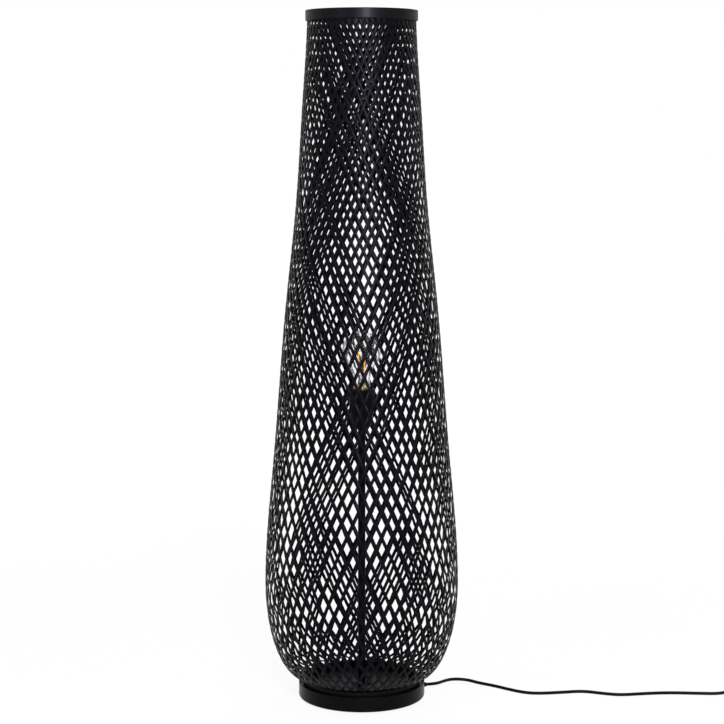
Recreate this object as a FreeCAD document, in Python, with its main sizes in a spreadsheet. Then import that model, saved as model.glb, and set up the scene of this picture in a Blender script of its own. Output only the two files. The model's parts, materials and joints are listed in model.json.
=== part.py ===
import FreeCAD, Part
import math
import os
import re

import Sketcher
from FreeCAD import Placement, Rotation, Vector

# Lantern floor lamp: a woven shade of split strips stands in a shallow steel dish, around a pole
# that carries a screw lampholder and a clear bulb. Millimetres, +Z up. The origin is on the floor,
# on the lamp's axis, and the cord leaves towards +X.

SIZES = [
    # The whole lamp
    ("total_height", 1100, "floor to the top edge of the shade"),
    ("fit_gap", 0.05, "radial gap of a close fit within one assembly"),
    ("lift_gap", 0.4, "radial gap where pieces lift apart"),
    # Base
    ("foot_radius", 8, "rubber foot"),
    ("foot_height", 3, "rubber foot"),
    ("foot_ring", 84, "radius of the ring of feet"),
    ("foot_count", 4, "feet"),
    ("dish_radius", 102, "outside of the steel dish"),
    ("dish_height", 27, "floor to the dish's rim"),
    ("dish_wall", 1.6, "sheet of the dish"),
    ("dish_round", 3.2, "outer bend between the dish's floor and wall"),
    ("ballast_gap", 3.2, "dish wall to ballast"),
    ("ballast_height", 16.4, "cast iron disc"),
    ("channel_width", 9, "cord channel under the ballast"),
    ("channel_depth", 10.4, "cord channel under the ballast"),
    ("pocket_radius", 13, "nut pocket under the ballast"),
    ("pocket_depth", 12.5, "nut pocket under the ballast"),
    ("cover_thickness", 1.2, "steel cover over the ballast"),
    ("cover_gap", 1, "dish wall to cover"),
    ("locating_height", 6, "ring that centres the shade"),
    ("locating_wall", 2, "ring that centres the shade"),
    ("screw_ring", 60, "radius of the ring of dish screws"),
    ("screw_count", 3, "dish screws"),
    ("screw_radius", 2, "dish screw shank"),
    ("screw_length", 10, "dish screw under its head"),
    ("screw_head_radius", 4, "dish screw head"),
    ("screw_head_height", 2, "dish screw head"),
    # Cord outlet
    ("outlet_angle", 15, "bearing of the cord outlet from +X, degrees"),
    ("outlet_height", 10.5, "centre of the cord outlet above the floor"),
    ("outlet_hole_radius", 4.6, "hole in the dish wall"),
    ("outlet_flange_radius", 7.3, "strain relief flange"),
    ("outlet_flange_width", 2.6, "strain relief flange"),
    ("outlet_nose_length", 5, "tapered nose outside the flange"),
    ("outlet_tail_length", 12, "barrel inside the dish wall"),
    ("outlet_tip_radius", 3.3, "thin end of the nose"),
    ("cord_radius", 2.6, "mains cord"),
    ("core_radius", 1.1, "one insulated core of the cord"),
    ("core_spread", 1.5, "core's distance from the cord's middle"),
    ("core_bend", 4, "bend of a core under the pole"),
    ("core_start", 24, "inner end of the sheath, in from the edge of the ballast"),
    ("relief_nut_wall", 0.75, "nut of the strain relief"),
    ("relief_nut_width", 1.9, "nut of the strain relief"),
    # Pole
    ("pole_radius", 6, "steel tube"),
    ("pole_wall", 1, "steel tube"),
    ("thread_bore", 3.5, "bore of the threaded tubes"),
    ("nut_across", 14, "hexagon nut, across flats"),
    ("nut_height", 3, "hexagon nut"),
    ("washer_radius", 9, "washer under the ballast"),
    ("washer_height", 1, "washer under the ballast"),
    ("nipple_end", 0.5, "thread showing below the nut"),
    ("nipple_grip", 20, "threaded tube inside the pole"),
    ("rose_radius", 16, "flange at the foot of the pole"),
    ("rose_height", 3, "flange at the foot of the pole"),
    # Lampholder
    ("holder_bottom", 442, "floor to the underside of the lampholder"),
    ("cap_height", 26, "lampholder cap"),
    ("cap_base_radius", 12.5, "cap at its bottom edge"),
    ("cap_waist_radius", 14.5, "cap where its taper starts"),
    ("cap_waist_height", 3, "cap where its taper starts"),
    ("cap_top_radius", 19.4, "cap at its top"),
    ("cap_wall", 2.2, "wall of the cap"),
    ("cap_floor", 6, "bottom of the cap"),
    ("spigot_height", 6, "thread between cap and skirt"),
    ("skirt_height", 37, "lampholder skirt"),
    ("skirt_top_radius", 22, "skirt at its mouth"),
    ("skirt_wall", 1.8, "wall of the skirt"),
    ("mouth_radius", 17.2, "mouth of the skirt"),
    ("lip_height", 3, "lip round the mouth"),
    ("core_plug_height", 10, "insulator inside the cap"),
    ("core_flange_height", 6, "insulator above the cap"),
    ("shell_radius", 14, "outside of the brass screw shell"),
    ("shell_wall", 0.4, "brass screw shell"),
    ("shell_height", 21, "brass screw shell"),
    ("shell_ledge", 4, "inward ledge at the foot of the screw shell"),
    ("contact_height", 3.2, "sprung contact in the middle of the lampholder"),
    ("contact_radius", 3.4, "sprung contact at its foot"),
    ("contact_top_radius", 2.2, "sprung contact at its top"),
    ("contact_sheet", 0.5, "sprung contact's edge"),
    ("terminal_ring", 8, "terminal's distance from the axis"),
    ("terminal_depth", 6, "well of a terminal screw"),
    ("terminal_radius", 2.2, "head of a terminal screw"),
    ("terminal_inset", 0.5, "head of a terminal screw, in from the well's mouth"),
    ("terminal_head", 1.8, "head of a terminal screw"),
    ("terminal_shank", 1.4, "shank of a terminal screw"),
    # Bulb
    ("bulb_clearance", 0.5, "screw cap to screw shell"),
    ("bulb_height", 114, "contact tip to the top of the glass"),
    ("bulb_radius", 31, "glass at its widest"),
    ("bulb_neck_radius", 13.4, "glass at its neck"),
    ("bulb_neck_length", 6, "straight neck above the cap"),
    ("glass_wall", 0.8, "bulb glass"),
    ("bulb_cap_height", 26.5, "contact tip to the top of the brass cap"),
    ("bulb_tip_gap", 0.3, "contact tip to the lampholder's contact"),
    ("cap_metal", 0.3, "brass of the bulb's cap"),
    ("cap_shoulder", 2, "step in at the bottom of the bulb's cap"),
    ("cap_bottom", 5.5, "contact tip to the bottom edge of the cap"),
    ("cap_shoulder_rise", 2.5, "height of the step at the bottom of the cap"),
    ("cap_collar", 4.5, "narrow collar of the cap round the glass"),
    ("cap_collar_taper", 2, "cone between the collar and the screw"),
    ("tip_height", 1.5, "contact under the insulator"),
    ("tip_radius", 3.6, "contact under the insulator"),
    ("tip_rim_radius", 4.6, "contact under the insulator"),
    ("insulator_height", 5.5, "insulator in the bottom of the cap"),
    ("insulator_edge", 1.8, "upright edge of the insulator"),
    ("stem_radius", 3.4, "glass stem above its flare"),
    ("stem_top_radius", 2.4, "glass stem at its top"),
    ("stem_flare", 6, "flare of the glass stem"),
    ("stem_gap", 3, "top of the stem to the foot of the rods"),
    ("wire_radius", 0.35, "wires that carry the rods"),
    ("wire_rise", 2.2, "middle wire above the rods"),
    ("weld_gap", 0.45, "end of a wire to its rod"),
    ("driver_height", 11, "circuit board in the bulb's cap"),
    ("driver_width", 15, "circuit board in the bulb's cap"),
    ("driver_board", 1.4, "circuit board in the bulb's cap"),
    ("filament_count", 4, "glowing rods"),
    ("filament_radius", 0.9, "one glowing rod"),
    ("filament_length", 32, "one glowing rod"),
    ("filament_ring", 7.5, "rod's distance from the axis"),
    ("filament_foot", 22, "brass cap to the foot of the rods"),
    # Shade
    ("hoop_wall", 2.3, "split hoop"),
    ("top_hoop_radius", 88, "outside of the top hoop"),
    ("top_hoop_height", 16, "top hoop"),
    ("hoop_setback", 7.4, "outside of the dish to the outside of the bottom hoop"),
    ("foot_hoop_height", 11.4, "bottom hoop"),
    ("hoop_round", 1, "rounded edge of a hoop"),
    ("hoop_ease", 0.12, "between a hoop and the strips"),
    ("bulge_radius", 155.8, "outside of the shade at its widest"),
    ("bulge_height", 190, "floor to the widest place"),
    ("foot_bend", 5, "bend of the strips over the bottom hoop"),
    ("foot_bend_drop", 1.6, "start of that bend below the hoop's edge"),
    ("strip_width", 4.9, "one strip"),
    ("strip_thickness", 0.8, "one strip"),
    ("layer_gap", 0.5, "between the two layers of strips"),
    ("tack_count", 4, "tacks through each pair of hoops"),
    ("strips_per_tack", 13, "strips of one lean from tack to tack"),
    ("turn_steps", 35, "strip's turn round the axis, in strip spacings"),
    ("shade_turn", 46.7, "bearing of the shade's first tack from +X, degrees"),
    ("lean_extra", 0.32, "extra lean of the strips at the bottom hoop"),
    ("lean_reach", 60, "height over which the extra lean fades"),
    ("tack_radius", 0.8, "brass tack"),
    ("tack_head_radius", 1.7, "brass tack"),
    ("tack_head_height", 0.6, "brass tack"),
    ("tack_inset", 0.3, "point of a tack short of the inner hoop's face"),
    # Cord, switch and plug
    ("coil_outer", 37.5, "middle of the coil's outermost turn"),
    ("coil_pitch", 6.6, "from one turn to the next"),
    ("coil_layer", 7.2, "from one layer of the coil to the next"),
    ("layer_turns", 2.5, "turns in one layer of the coil"),
    ("tie_width", 12, "strap round the coil"),
    ("tie_thickness", 0.8, "strap round the coil"),
    ("tie_ease", 0.35, "strap to coil"),
    ("switch_length", 64, "in-line switch"),
    ("switch_width", 26, "in-line switch"),
    ("switch_height", 17, "in-line switch"),
    ("switch_wall", 1.8, "in-line switch"),
    ("switch_round", 4, "corners of the in-line switch"),
    ("rocker_length", 19, "rocker of the switch"),
    ("rocker_width", 11, "rocker of the switch"),
    ("rocker_gap", 0.8, "rocker to its window"),
    ("rocker_height", 5.2, "rocker's pin above the switch's middle"),
    ("rocker_tilt", 8, "tilt of the rocker to each side, degrees"),
    ("rocker_axle_radius", 1, "pin of the rocker"),
    ("rocker_rise", 4, "end of the rocker above its pin"),
    ("rocker_dip", 1, "hollow in the middle of the rocker"),
    ("rocker_depth", 2.2, "foot of the rocker below its pin"),
    ("switch_end", 8, "solid end of the switch round the cord"),
    ("switch_screw_inset", 5, "switch screw from the sides"),
    ("switch_screw_radius", 1.2, "switch screw"),
    ("switch_screw_length", 12, "switch screw under its head"),
    ("switch_head_radius", 2.2, "head of the switch screw"),
    ("switch_head_height", 1.6, "head of the switch screw"),
    ("switch_head_inset", 0.6, "head of the switch screw, in from the bottom"),
    ("leaf_middle", 13, "contact leaf from the middle of the switch"),
    ("leaf_length", 9, "contact leaf"),
    ("leaf_width", 5, "contact leaf"),
    ("leaf_thickness", 0.8, "contact leaf"),
    ("leaf_post", 2.6, "contact leaf's post"),
    ("plug_length", 36, "plug body"),
    ("plug_width", 35.3, "plug body"),
    ("plug_thickness", 13.7, "plug body"),
    ("plug_tail_length", 16, "tapered tail of the plug"),
    ("plug_front", 9, "straight front of the plug body"),
    ("plug_waist_start", 20, "front of the plug body to its waist"),
    ("plug_waist_share", 0.36, "half the waist, as a share of the width"),
    ("plug_rear_share", 0.27, "half the rear, as a share of the width"),
    ("boot_mouth", 0.9, "wall of the plug's boot at its thin end"),
    ("boot_core", 1.1, "wall of the boot inside the plug"),
    ("boot_depth", 7.5, "boot inside the plug"),
    ("pin_radius", 2, "plug pin"),
    ("pin_length", 19, "plug pin"),
    ("pin_spacing", 18.6, "between the plug pins"),
    ("pin_root", 7.5, "plug pin inside the plug"),
    ("sleeve_length", 10, "sleeved root of a plug pin"),
    ("sleeve_wall", 0.4, "sleeved root of a plug pin"),
    ("floor_gap", 0.1, "under the cord and what is on it"),
]

doc = FreeCAD.newDocument("LanternFloorLamp")
sheet = doc.addObject("Spreadsheet::Sheet", "Sizes")
for row, (alias, amount, note) in enumerate(SIZES, start=1):
    sheet.set(f"A{row}", alias)
    sheet.set(f"B{row}", str(amount))
    sheet.setAlias(f"B{row}", alias)
    sheet.set(f"C{row}", note)

# Heights and radii that follow from the driving sizes.
LEVELS = [
    ("dish_floor", "foot_height + dish_wall"),
    ("ballast_radius", "dish_radius - dish_wall - ballast_gap"),
    ("ballast_top", "dish_floor + ballast_height"),
    ("cover_top", "ballast_top + cover_thickness"),
    ("pocket_top", "dish_floor + pocket_depth"),
    ("thread_radius", "pole_radius - pole_wall - fit_gap"),
    ("base_nut_top", "pocket_top - washer_height"),
    ("base_nut_bottom", "base_nut_top - nut_height"),
    ("base_nipple_bottom", "base_nut_bottom - nipple_end"),
    ("pole_bottom", "cover_top"),
    ("base_nipple_top", "pole_bottom + nipple_grip"),
    ("holder_nipple_bottom", "holder_bottom - nipple_grip / 2"),
    ("cap_inside", "holder_bottom + cap_floor"),
    ("holder_nipple_top", "cap_inside + nut_height + nipple_end"),
    ("cap_top", "holder_bottom + cap_height"),
    ("spigot_top", "cap_top + spigot_height"),
    ("spigot_radius", "cap_top_radius - cap_wall"),
    ("core_bottom", "spigot_top - core_plug_height"),
    ("core_top", "spigot_top + core_flange_height"),
    ("skirt_top", "cap_top + skirt_height"),
    ("contact_top", "core_top + contact_height"),
    ("bulb_tip", "contact_top + bulb_tip_gap"),
    ("bulb_cap_radius", "shell_radius - shell_wall - bulb_clearance"),
    ("bulb_cap_top", "bulb_tip + bulb_cap_height"),
    ("bulb_top", "bulb_tip + bulb_height"),
    ("filament_bottom", "bulb_cap_top + filament_foot"),
    ("stem_top", "filament_bottom - stem_gap"),
    ("terminal_low", "core_bottom + terminal_inset"),
    ("sheath_end", "ballast_radius - core_start"),
    ("strip_corner", "0.4 + strip_width * 0.26"),
    ("foot_hoop_radius", "dish_radius - hoop_setback"),
    ("strip_count", "tack_count * strips_per_tack"),
    ("stack_half", "strip_thickness + layer_gap / 2"),
    ("hoop_space", "2 * stack_half + 2 * hoop_ease"),
    ("top_hoop_bottom", "total_height - top_hoop_height"),
    ("top_hoop_middle", "total_height - top_hoop_height / 2"),
    ("top_line", "top_hoop_radius - hoop_wall - hoop_space / 2"),
    ("top_inner_radius", "top_hoop_radius - hoop_wall - hoop_space"),
    ("foot_line", "foot_hoop_radius - hoop_wall - hoop_space / 2"),
    ("foot_inner_radius", "foot_hoop_radius - hoop_wall - hoop_space"),
    ("foot_hoop_top", "cover_top + foot_hoop_height"),
    ("foot_hoop_middle", "cover_top + foot_hoop_height / 2"),
    ("foot_bend_start", "foot_hoop_top - foot_bend_drop"),
    ("locating_radius", "foot_inner_radius - hoop_wall - lift_gap"),
    ("outlet_start", "dish_radius + outlet_flange_width + outlet_nose_length"),
    ("cord_height", "cord_radius + floor_gap"),
    ("coil_low", "floor_gap + tie_thickness + tie_ease + cord_radius"),
    ("coil_high", "coil_low + coil_layer"),
    ("switch_middle", "switch_height / 2 + floor_gap"),
    ("plug_middle", "plug_thickness / 2 + floor_gap"),
]
first_level_row = len(SIZES) + 2
for row, (alias, formula) in enumerate(LEVELS, start=first_level_row):
    sheet.set(f"A{row}", alias)
    sheet.set(f"B{row}", "=" + formula)
    sheet.setAlias(f"B{row}", alias)
doc.recompute()

NAMES = {entry[0] for entry in SIZES} | {entry[0] for entry in LEVELS}
AXIS_Z = Vector(0, 0, 1)
nodes = []


def linked(text):
    """The expression, with each size in it named as a cell of the sheet."""
    return re.sub(r"[a-z]\w*", lambda word: ("Sizes." if word.group() in NAMES else "") + word.group(), text)


def size(text):
    """The expression's present value."""
    return float(sheet.evalExpression(linked(text)))


def keep(piece, label):
    """Name a finished piece and put it among the nodes."""
    piece.Label = label
    nodes.append(piece)
    return piece


# --- Sketches and solids ---


def origin_plane(body, role):
    return next(item for item in body.Origin.OriginFeatures if item.Role == role)


def new_sketch(body, name, role):
    sketch = body.newObject("Sketcher::SketchObject", name)
    sketch.AttachmentSupport = [(origin_plane(body, role), "")]
    sketch.MapMode = "FlatFace"
    return sketch


def place_point(sketch, geometry, position, across, up):
    """Hold a sketch point at the two expressions, measured from the sketch's origin."""
    for kind, text, axis in (("DistanceX", across, -2), ("DistanceY", up, -1)):
        amount = size(text)
        if abs(amount) < 1e-9:
            sketch.addConstraint(Sketcher.Constraint("PointOnObject", geometry, position, axis))
            continue
        index = sketch.addConstraint(Sketcher.Constraint(kind, -1, 1, geometry, position, amount))
        sketch.setExpression(f"Constraints[{index}]", linked(text))


def outline_sketch(body, name, role, outline):
    """Closed outline of straight lines through pairs of expressions."""
    sketch = new_sketch(body, name, role)
    corners = [Vector(size(across), size(up), 0) for across, up in outline]
    for start, end in zip(corners, corners[1:] + corners[:1]):
        sketch.addGeometry(Part.LineSegment(start, end), False)
    for index in range(len(corners)):
        sketch.addConstraint(Sketcher.Constraint("Coincident", index, 2, (index + 1) % len(corners), 1))
    for index, (across, up) in enumerate(outline):
        place_point(sketch, index, 1, across, up)
    return sketch


def circle_sketch(body, name, role, circles):
    """Circles given as (across, up, radius) expressions."""
    sketch = new_sketch(body, name, role)
    for index, (across, up, radius) in enumerate(circles):
        centre = Vector(size(across), size(up), 0)
        sketch.addGeometry(Part.Circle(centre, AXIS_Z, size(radius)), False)
        place_point(sketch, index, 3, across, up)
        constraint = sketch.addConstraint(Sketcher.Constraint("Radius", index, size(radius)))
        sketch.setExpression(f"Constraints[{constraint}]", linked(radius))
    return sketch


def round_edges(body, name, radius, chosen):
    """Fillet the edges of the body's tip for which chosen(edge) holds."""
    doc.recompute()
    base = body.Tip
    edges = [f"Edge{index}" for index, edge in enumerate(base.Shape.Edges, start=1) if chosen(edge)]
    fillet = body.newObject("PartDesign::Fillet", name)
    fillet.Base = (base, edges)
    fillet.Radius = size(radius)
    fillet.setExpression("Radius", linked(radius))
    body.Tip = fillet


def circle_at(radius, height):
    """Test for the circular edge round Z with the given radius and height."""

    def chosen(edge):
        curve = edge.Curve
        if not isinstance(curve, Part.Circle):
            return False
        return abs(curve.Radius - size(radius)) < 1e-4 and abs(curve.Center.z - size(height)) < 1e-4

    return chosen


def turned(label, outline, rounds=()):
    """Body turned about Z from (radius, height) pairs. rounds: (fillet, radius, height) of its edges."""
    body = doc.addObject("PartDesign::Body", label)
    sketch = outline_sketch(body, label + "_outline", "XZ_Plane", outline)
    turning = body.newObject("PartDesign::Revolution", label + "_turned")
    turning.Profile = sketch
    turning.ReferenceAxis = (sketch, ["V_Axis"])
    turning.Angle = 360
    body.Tip = turning
    for index, (fillet, radius, height) in enumerate(rounds, start=1):
        round_edges(body, f"{label}_round_{index}", fillet, circle_at(radius, height))
    doc.recompute()
    return keep(body, label)


def ring_outline(inner, outer, bottom, top):
    return [(inner, bottom), (outer, bottom), (outer, top), (inner, top)]


def pocket(body, name, sketch, depth, opposite):
    """Cut the sketch into the body, and check that it took material away."""
    doc.recompute()
    before = body.Tip.Shape.Volume
    cut = body.newObject("PartDesign::Pocket", name)
    cut.Profile = sketch
    cut.Length = size(depth)
    cut.setExpression("Length", linked(depth))
    cut.Reversed = opposite
    body.Tip = cut
    doc.recompute()
    if cut.Shape.Volume >= before - 1e-6:
        raise RuntimeError(name + " cuts nothing")
    return cut


def repeat(body, name, feature, count):
    """Repeat a feature evenly round Z."""
    pattern = body.newObject("PartDesign::PolarPattern", name)
    pattern.Originals = [feature]
    pattern.Axis = (origin_axis(body), [""])
    pattern.Angle = 360
    pattern.Occurrences = int(size(count))
    pattern.setExpression("Occurrences", linked(count))
    body.Tip = pattern
    doc.recompute()


def origin_axis(body):
    return next(item for item in body.Origin.OriginFeatures if item.Role == "Z_Axis")


def padded(label, outline, height, rounds=None):
    """Body raised from Z = 0 over an outline in X and Y; rounds: fillet of its upright edges."""
    body = doc.addObject("PartDesign::Body", label)
    sketch = outline_sketch(body, label + "_outline", "XY_Plane", outline)
    pad = body.newObject("PartDesign::Pad", label + "_pad")
    pad.Profile = sketch
    pad.Length = size(height)
    pad.setExpression("Length", linked(height))
    body.Tip = pad
    if rounds:
        round_edges(body, label + "_corners", rounds, is_upright)
    doc.recompute()
    return keep(body, label)


def is_upright(edge):
    start = edge.Vertexes[0].Point
    end = edge.Vertexes[-1].Point
    return abs(start.x - end.x) < 1e-6 and abs(start.y - end.y) < 1e-6 and abs(start.z - end.z) > 1e-6


def rectangle(half_length, half_width):
    return [
        ("-(%s)" % half_length, "-(%s)" % half_width),
        (half_length, "-(%s)" % half_width),
        (half_length, half_width),
        ("-(%s)" % half_length, half_width),
    ]


def move(piece, x="0", y="0", z="0"):
    """Place a piece at the three expressions."""
    piece.Placement = Placement(Vector(size(x), size(y), size(z)), piece.Placement.Rotation)
    for axis, text in zip("xyz", (x, y, z)):
        piece.setExpression("Placement.Base." + axis, linked(text))


def turn(piece, axis, angle):
    """Turn a piece about its own origin by an angle expression."""
    piece.Placement = Placement(piece.Placement.Base, Rotation(axis, size(angle)))
    piece.setExpression("Placement.Rotation.Angle", linked(angle) + " * 1 deg")


def ring_of(label, shape, count, first_angle=0.0):
    """Copies of one shape, set evenly round Z."""
    number = int(size(count))
    copies = []
    for index in range(number):
        copy = shape.copy()
        copy.rotate(Vector(0, 0, 0), AXIS_Z, first_angle + 360.0 * index / number)
        copies.append(copy)
    piece = doc.addObject("Part::Feature", label)
    piece.Shape = Part.makeCompound(copies)
    return keep(piece, label)


def rod(name, radius, height, direction=AXIS_Z):
    """Part cylinder along a direction, from its own origin."""
    piece = doc.addObject("Part::Cylinder", name)
    piece.setExpression("Radius", linked(radius))
    piece.setExpression("Height", linked(height))
    piece.Placement = Placement(Vector(0, 0, 0), Rotation(AXIS_Z, direction))
    doc.recompute()
    return piece


def hexagon_nut(label, bottom):
    """Hexagon nut with a plain bore round the threaded tube."""
    prism = doc.addObject("Part::Prism", label + "_prism")
    prism.Polygon = 6
    prism.setExpression("Circumradius", linked("nut_across / 1.7320508"))
    prism.setExpression("Height", linked("nut_height"))
    bore = rod(label + "_bore", "thread_radius + fit_gap", "nut_height")
    nut = doc.addObject("Part::Cut", label)
    nut.Base = prism
    nut.Tool = bore
    move(nut, z=bottom)
    doc.recompute()
    return keep(nut, label)


def solid_of(label, shape):
    """Part feature that holds a shape made by Part's own functions."""
    piece = doc.addObject("Part::Feature", label)
    piece.Shape = shape
    return keep(piece, label)


# --- Base ---


def make_base():
    foot = rod("foot", "foot_radius", "foot_height")
    move(foot, x="foot_ring")
    doc.recompute()
    ring_of("feet", foot.Shape, "foot_count", 45.0)

    dish = turned(
        "base_dish",
        [
            ("0", "foot_height"),
            ("dish_radius", "foot_height"),
            ("dish_radius", "dish_height"),
            ("dish_radius - dish_wall", "dish_height"),
            ("dish_radius - dish_wall", "dish_floor"),
            ("0", "dish_floor"),
        ],
        [
            ("dish_round", "dish_radius", "foot_height"),
            ("dish_round - dish_wall", "dish_radius - dish_wall", "dish_floor"),
            ("dish_wall * 0.45", "dish_radius", "dish_height"),
            ("dish_wall * 0.45", "dish_radius - dish_wall", "dish_height"),
        ],
    )
    outlet = circle_sketch(dish, "outlet_circle", "YZ_Plane", [("0", "outlet_height", "outlet_hole_radius")])
    pocket(dish, "outlet_hole", outlet, "dish_radius + 1", True)
    screw_hole = circle_sketch(dish, "screw_circle", "XY_Plane", [("0", "screw_ring", "screw_radius + 0.3")])
    hole = pocket(dish, "screw_hole", screw_hole, "dish_floor + 1", True)
    repeat(dish, "screw_holes", hole, "screw_count")
    turn(dish, AXIS_Z, "outlet_angle")

    ballast = turned(
        "ballast",
        [
            ("0", "dish_floor"),
            ("ballast_radius", "dish_floor"),
            ("ballast_radius", "ballast_top"),
            ("0", "ballast_top"),
        ],
        [("dish_wall", "ballast_radius", "ballast_top"), ("dish_round", "ballast_radius", "dish_floor")],
    )
    through = circle_sketch(ballast, "thread_circle", "XY_Plane", [("0", "0", "thread_radius + fit_gap")])
    pocket(ballast, "thread_hole", through, "ballast_top + 1", True)
    nut_space = circle_sketch(ballast, "nut_circle", "XY_Plane", [("0", "0", "pocket_radius")])
    pocket(ballast, "nut_pocket", nut_space, "pocket_top", True)
    channel = outline_sketch(
        ballast,
        "channel_outline",
        "XY_Plane",
        [
            ("1", "-channel_width / 2"),
            ("ballast_radius + 1", "-channel_width / 2"),
            ("ballast_radius + 1", "channel_width / 2"),
            ("1", "channel_width / 2"),
        ],
    )
    pocket(ballast, "cord_channel", channel, "dish_floor + channel_depth", True)
    tapped = circle_sketch(ballast, "tapped_circle", "XY_Plane", [("0", "screw_ring", "screw_radius + fit_gap")])
    tapped_hole = pocket(ballast, "tapped_hole", tapped, "foot_height + screw_length + 1", True)
    repeat(ballast, "tapped_holes", tapped_hole, "screw_count")
    turn(ballast, AXIS_Z, "outlet_angle")

    screw = turned(
        "dish_screw",
        [
            ("0", "foot_height - screw_head_height"),
            ("screw_head_radius", "foot_height - screw_head_height"),
            ("screw_head_radius", "foot_height"),
            ("screw_radius", "foot_height"),
            ("screw_radius", "foot_height + screw_length"),
            ("0", "foot_height + screw_length"),
        ],
        [("screw_head_height * 0.6", "screw_head_radius", "foot_height - screw_head_height")],
    )
    nodes.remove(screw)
    move(screw, y="screw_ring")
    doc.recompute()
    ring_of("dish_screws", screw.Shape, "screw_count", size("outlet_angle"))

    turned(
        "base_cover",
        ring_outline(
            "thread_radius + fit_gap", "dish_radius - dish_wall - cover_gap", "ballast_top", "cover_top"
        ),
        [("cover_thickness * 0.4", "dish_radius - dish_wall - cover_gap", "cover_top")],
    )
    turned(
        "shade_locating_ring",
        ring_outline(
            "locating_radius - locating_wall", "locating_radius", "cover_top", "cover_top + locating_height"
        ),
        [("locating_wall * 0.4", "locating_radius", "cover_top + locating_height")],
    )


# --- Cord outlet and the cores inside the lamp ---


def outward(piece):
    """Lay a piece that was turned about Z along the cord outlet's bearing, at the outlet's height."""
    angle = size("outlet_angle")
    direction = Vector(math.cos(math.radians(angle)), math.sin(math.radians(angle)), 0)
    piece.Placement = Placement(Vector(0, 0, size("outlet_height")), Rotation(AXIS_Z, direction))
    piece.setExpression("Placement.Base.z", linked("outlet_height"))


def make_outlet():
    relief = turned(
        "strain_relief",
        [
            ("cord_radius + fit_gap", "dish_radius - dish_wall - outlet_tail_length"),
            ("outlet_hole_radius - 0.6", "dish_radius - dish_wall - outlet_tail_length"),
            ("outlet_hole_radius - fit_gap", "dish_radius - dish_wall"),
            ("outlet_hole_radius - fit_gap", "dish_radius + 0.2"),
            ("outlet_flange_radius", "dish_radius + 0.2"),
            ("outlet_flange_radius", "dish_radius + outlet_flange_width"),
            ("outlet_hole_radius", "dish_radius + outlet_flange_width"),
            ("outlet_tip_radius", "outlet_start"),
            ("cord_radius + fit_gap", "outlet_start"),
        ],
        [("outlet_flange_width * 0.4", "outlet_flange_radius", "dish_radius + outlet_flange_width")],
    )
    outward(relief)
    clamp = turned(
        "relief_nut",
        ring_outline(
            "outlet_hole_radius + fit_gap",
            "outlet_hole_radius + relief_nut_wall",
            "dish_radius - dish_wall - lift_gap - relief_nut_width",
            "dish_radius - dish_wall - lift_gap",
        ),
    )
    outward(clamp)
    sheath = turned(
        "cord_end",
        ring_outline("0", "cord_radius", "sheath_end", "outlet_start"),
    )
    outward(sheath)

    angle = math.radians(size("outlet_angle"))
    inward = Vector(-math.cos(angle), -math.sin(angle), 0)
    aside = Vector(-math.sin(angle), math.cos(angle), 0)
    height = size("outlet_height")
    bend = size("core_bend")
    top = size("core_bottom") - 1
    for label, side in (("live_core", 1), ("neutral_core", -1)):
        offset = aside * (side * size("core_spread"))
        start = inward * -size("sheath_end") + offset + Vector(0, 0, height)
        low = inward * -bend + offset + Vector(0, 0, height)
        turn_middle = inward * (-bend * (1 - math.sin(math.pi / 4))) + offset
        turn_middle += Vector(0, 0, height + bend * (1 - math.cos(math.pi / 4)))
        upright = offset + Vector(0, 0, height + bend)
        end = offset + Vector(0, 0, top)
        path = Part.Wire(
            [
                Part.LineSegment(start, low).toShape(),
                Part.Arc(low, turn_middle, upright).toShape(),
                Part.LineSegment(upright, end).toShape(),
            ]
        )
        ring = Part.Wire(Part.Circle(start, inward, size("core_radius")).toShape())
        solid_of(label, path.makePipeShell([ring], True, False))


# --- Pole ---


def make_pole():
    turned(
        "base_nipple",
        ring_outline("thread_bore", "thread_radius", "base_nipple_bottom", "base_nipple_top"),
    )
    hexagon_nut("base_nut", "base_nut_bottom")
    turned(
        "base_washer",
        ring_outline("thread_radius + fit_gap", "washer_radius", "base_nut_top", "pocket_top"),
    )
    turned(
        "pole_rose",
        ring_outline("pole_radius + fit_gap", "rose_radius", "pole_bottom", "pole_bottom + rose_height"),
        [("rose_height * 0.6", "rose_radius", "pole_bottom + rose_height")],
    )
    turned(
        "pole",
        ring_outline("pole_radius - pole_wall", "pole_radius", "pole_bottom", "holder_bottom"),
    )
    turned(
        "holder_nipple",
        ring_outline("thread_bore", "thread_radius", "holder_nipple_bottom", "holder_nipple_top"),
    )
    hexagon_nut("holder_nut", "cap_inside")


# --- Lampholder ---


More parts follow.
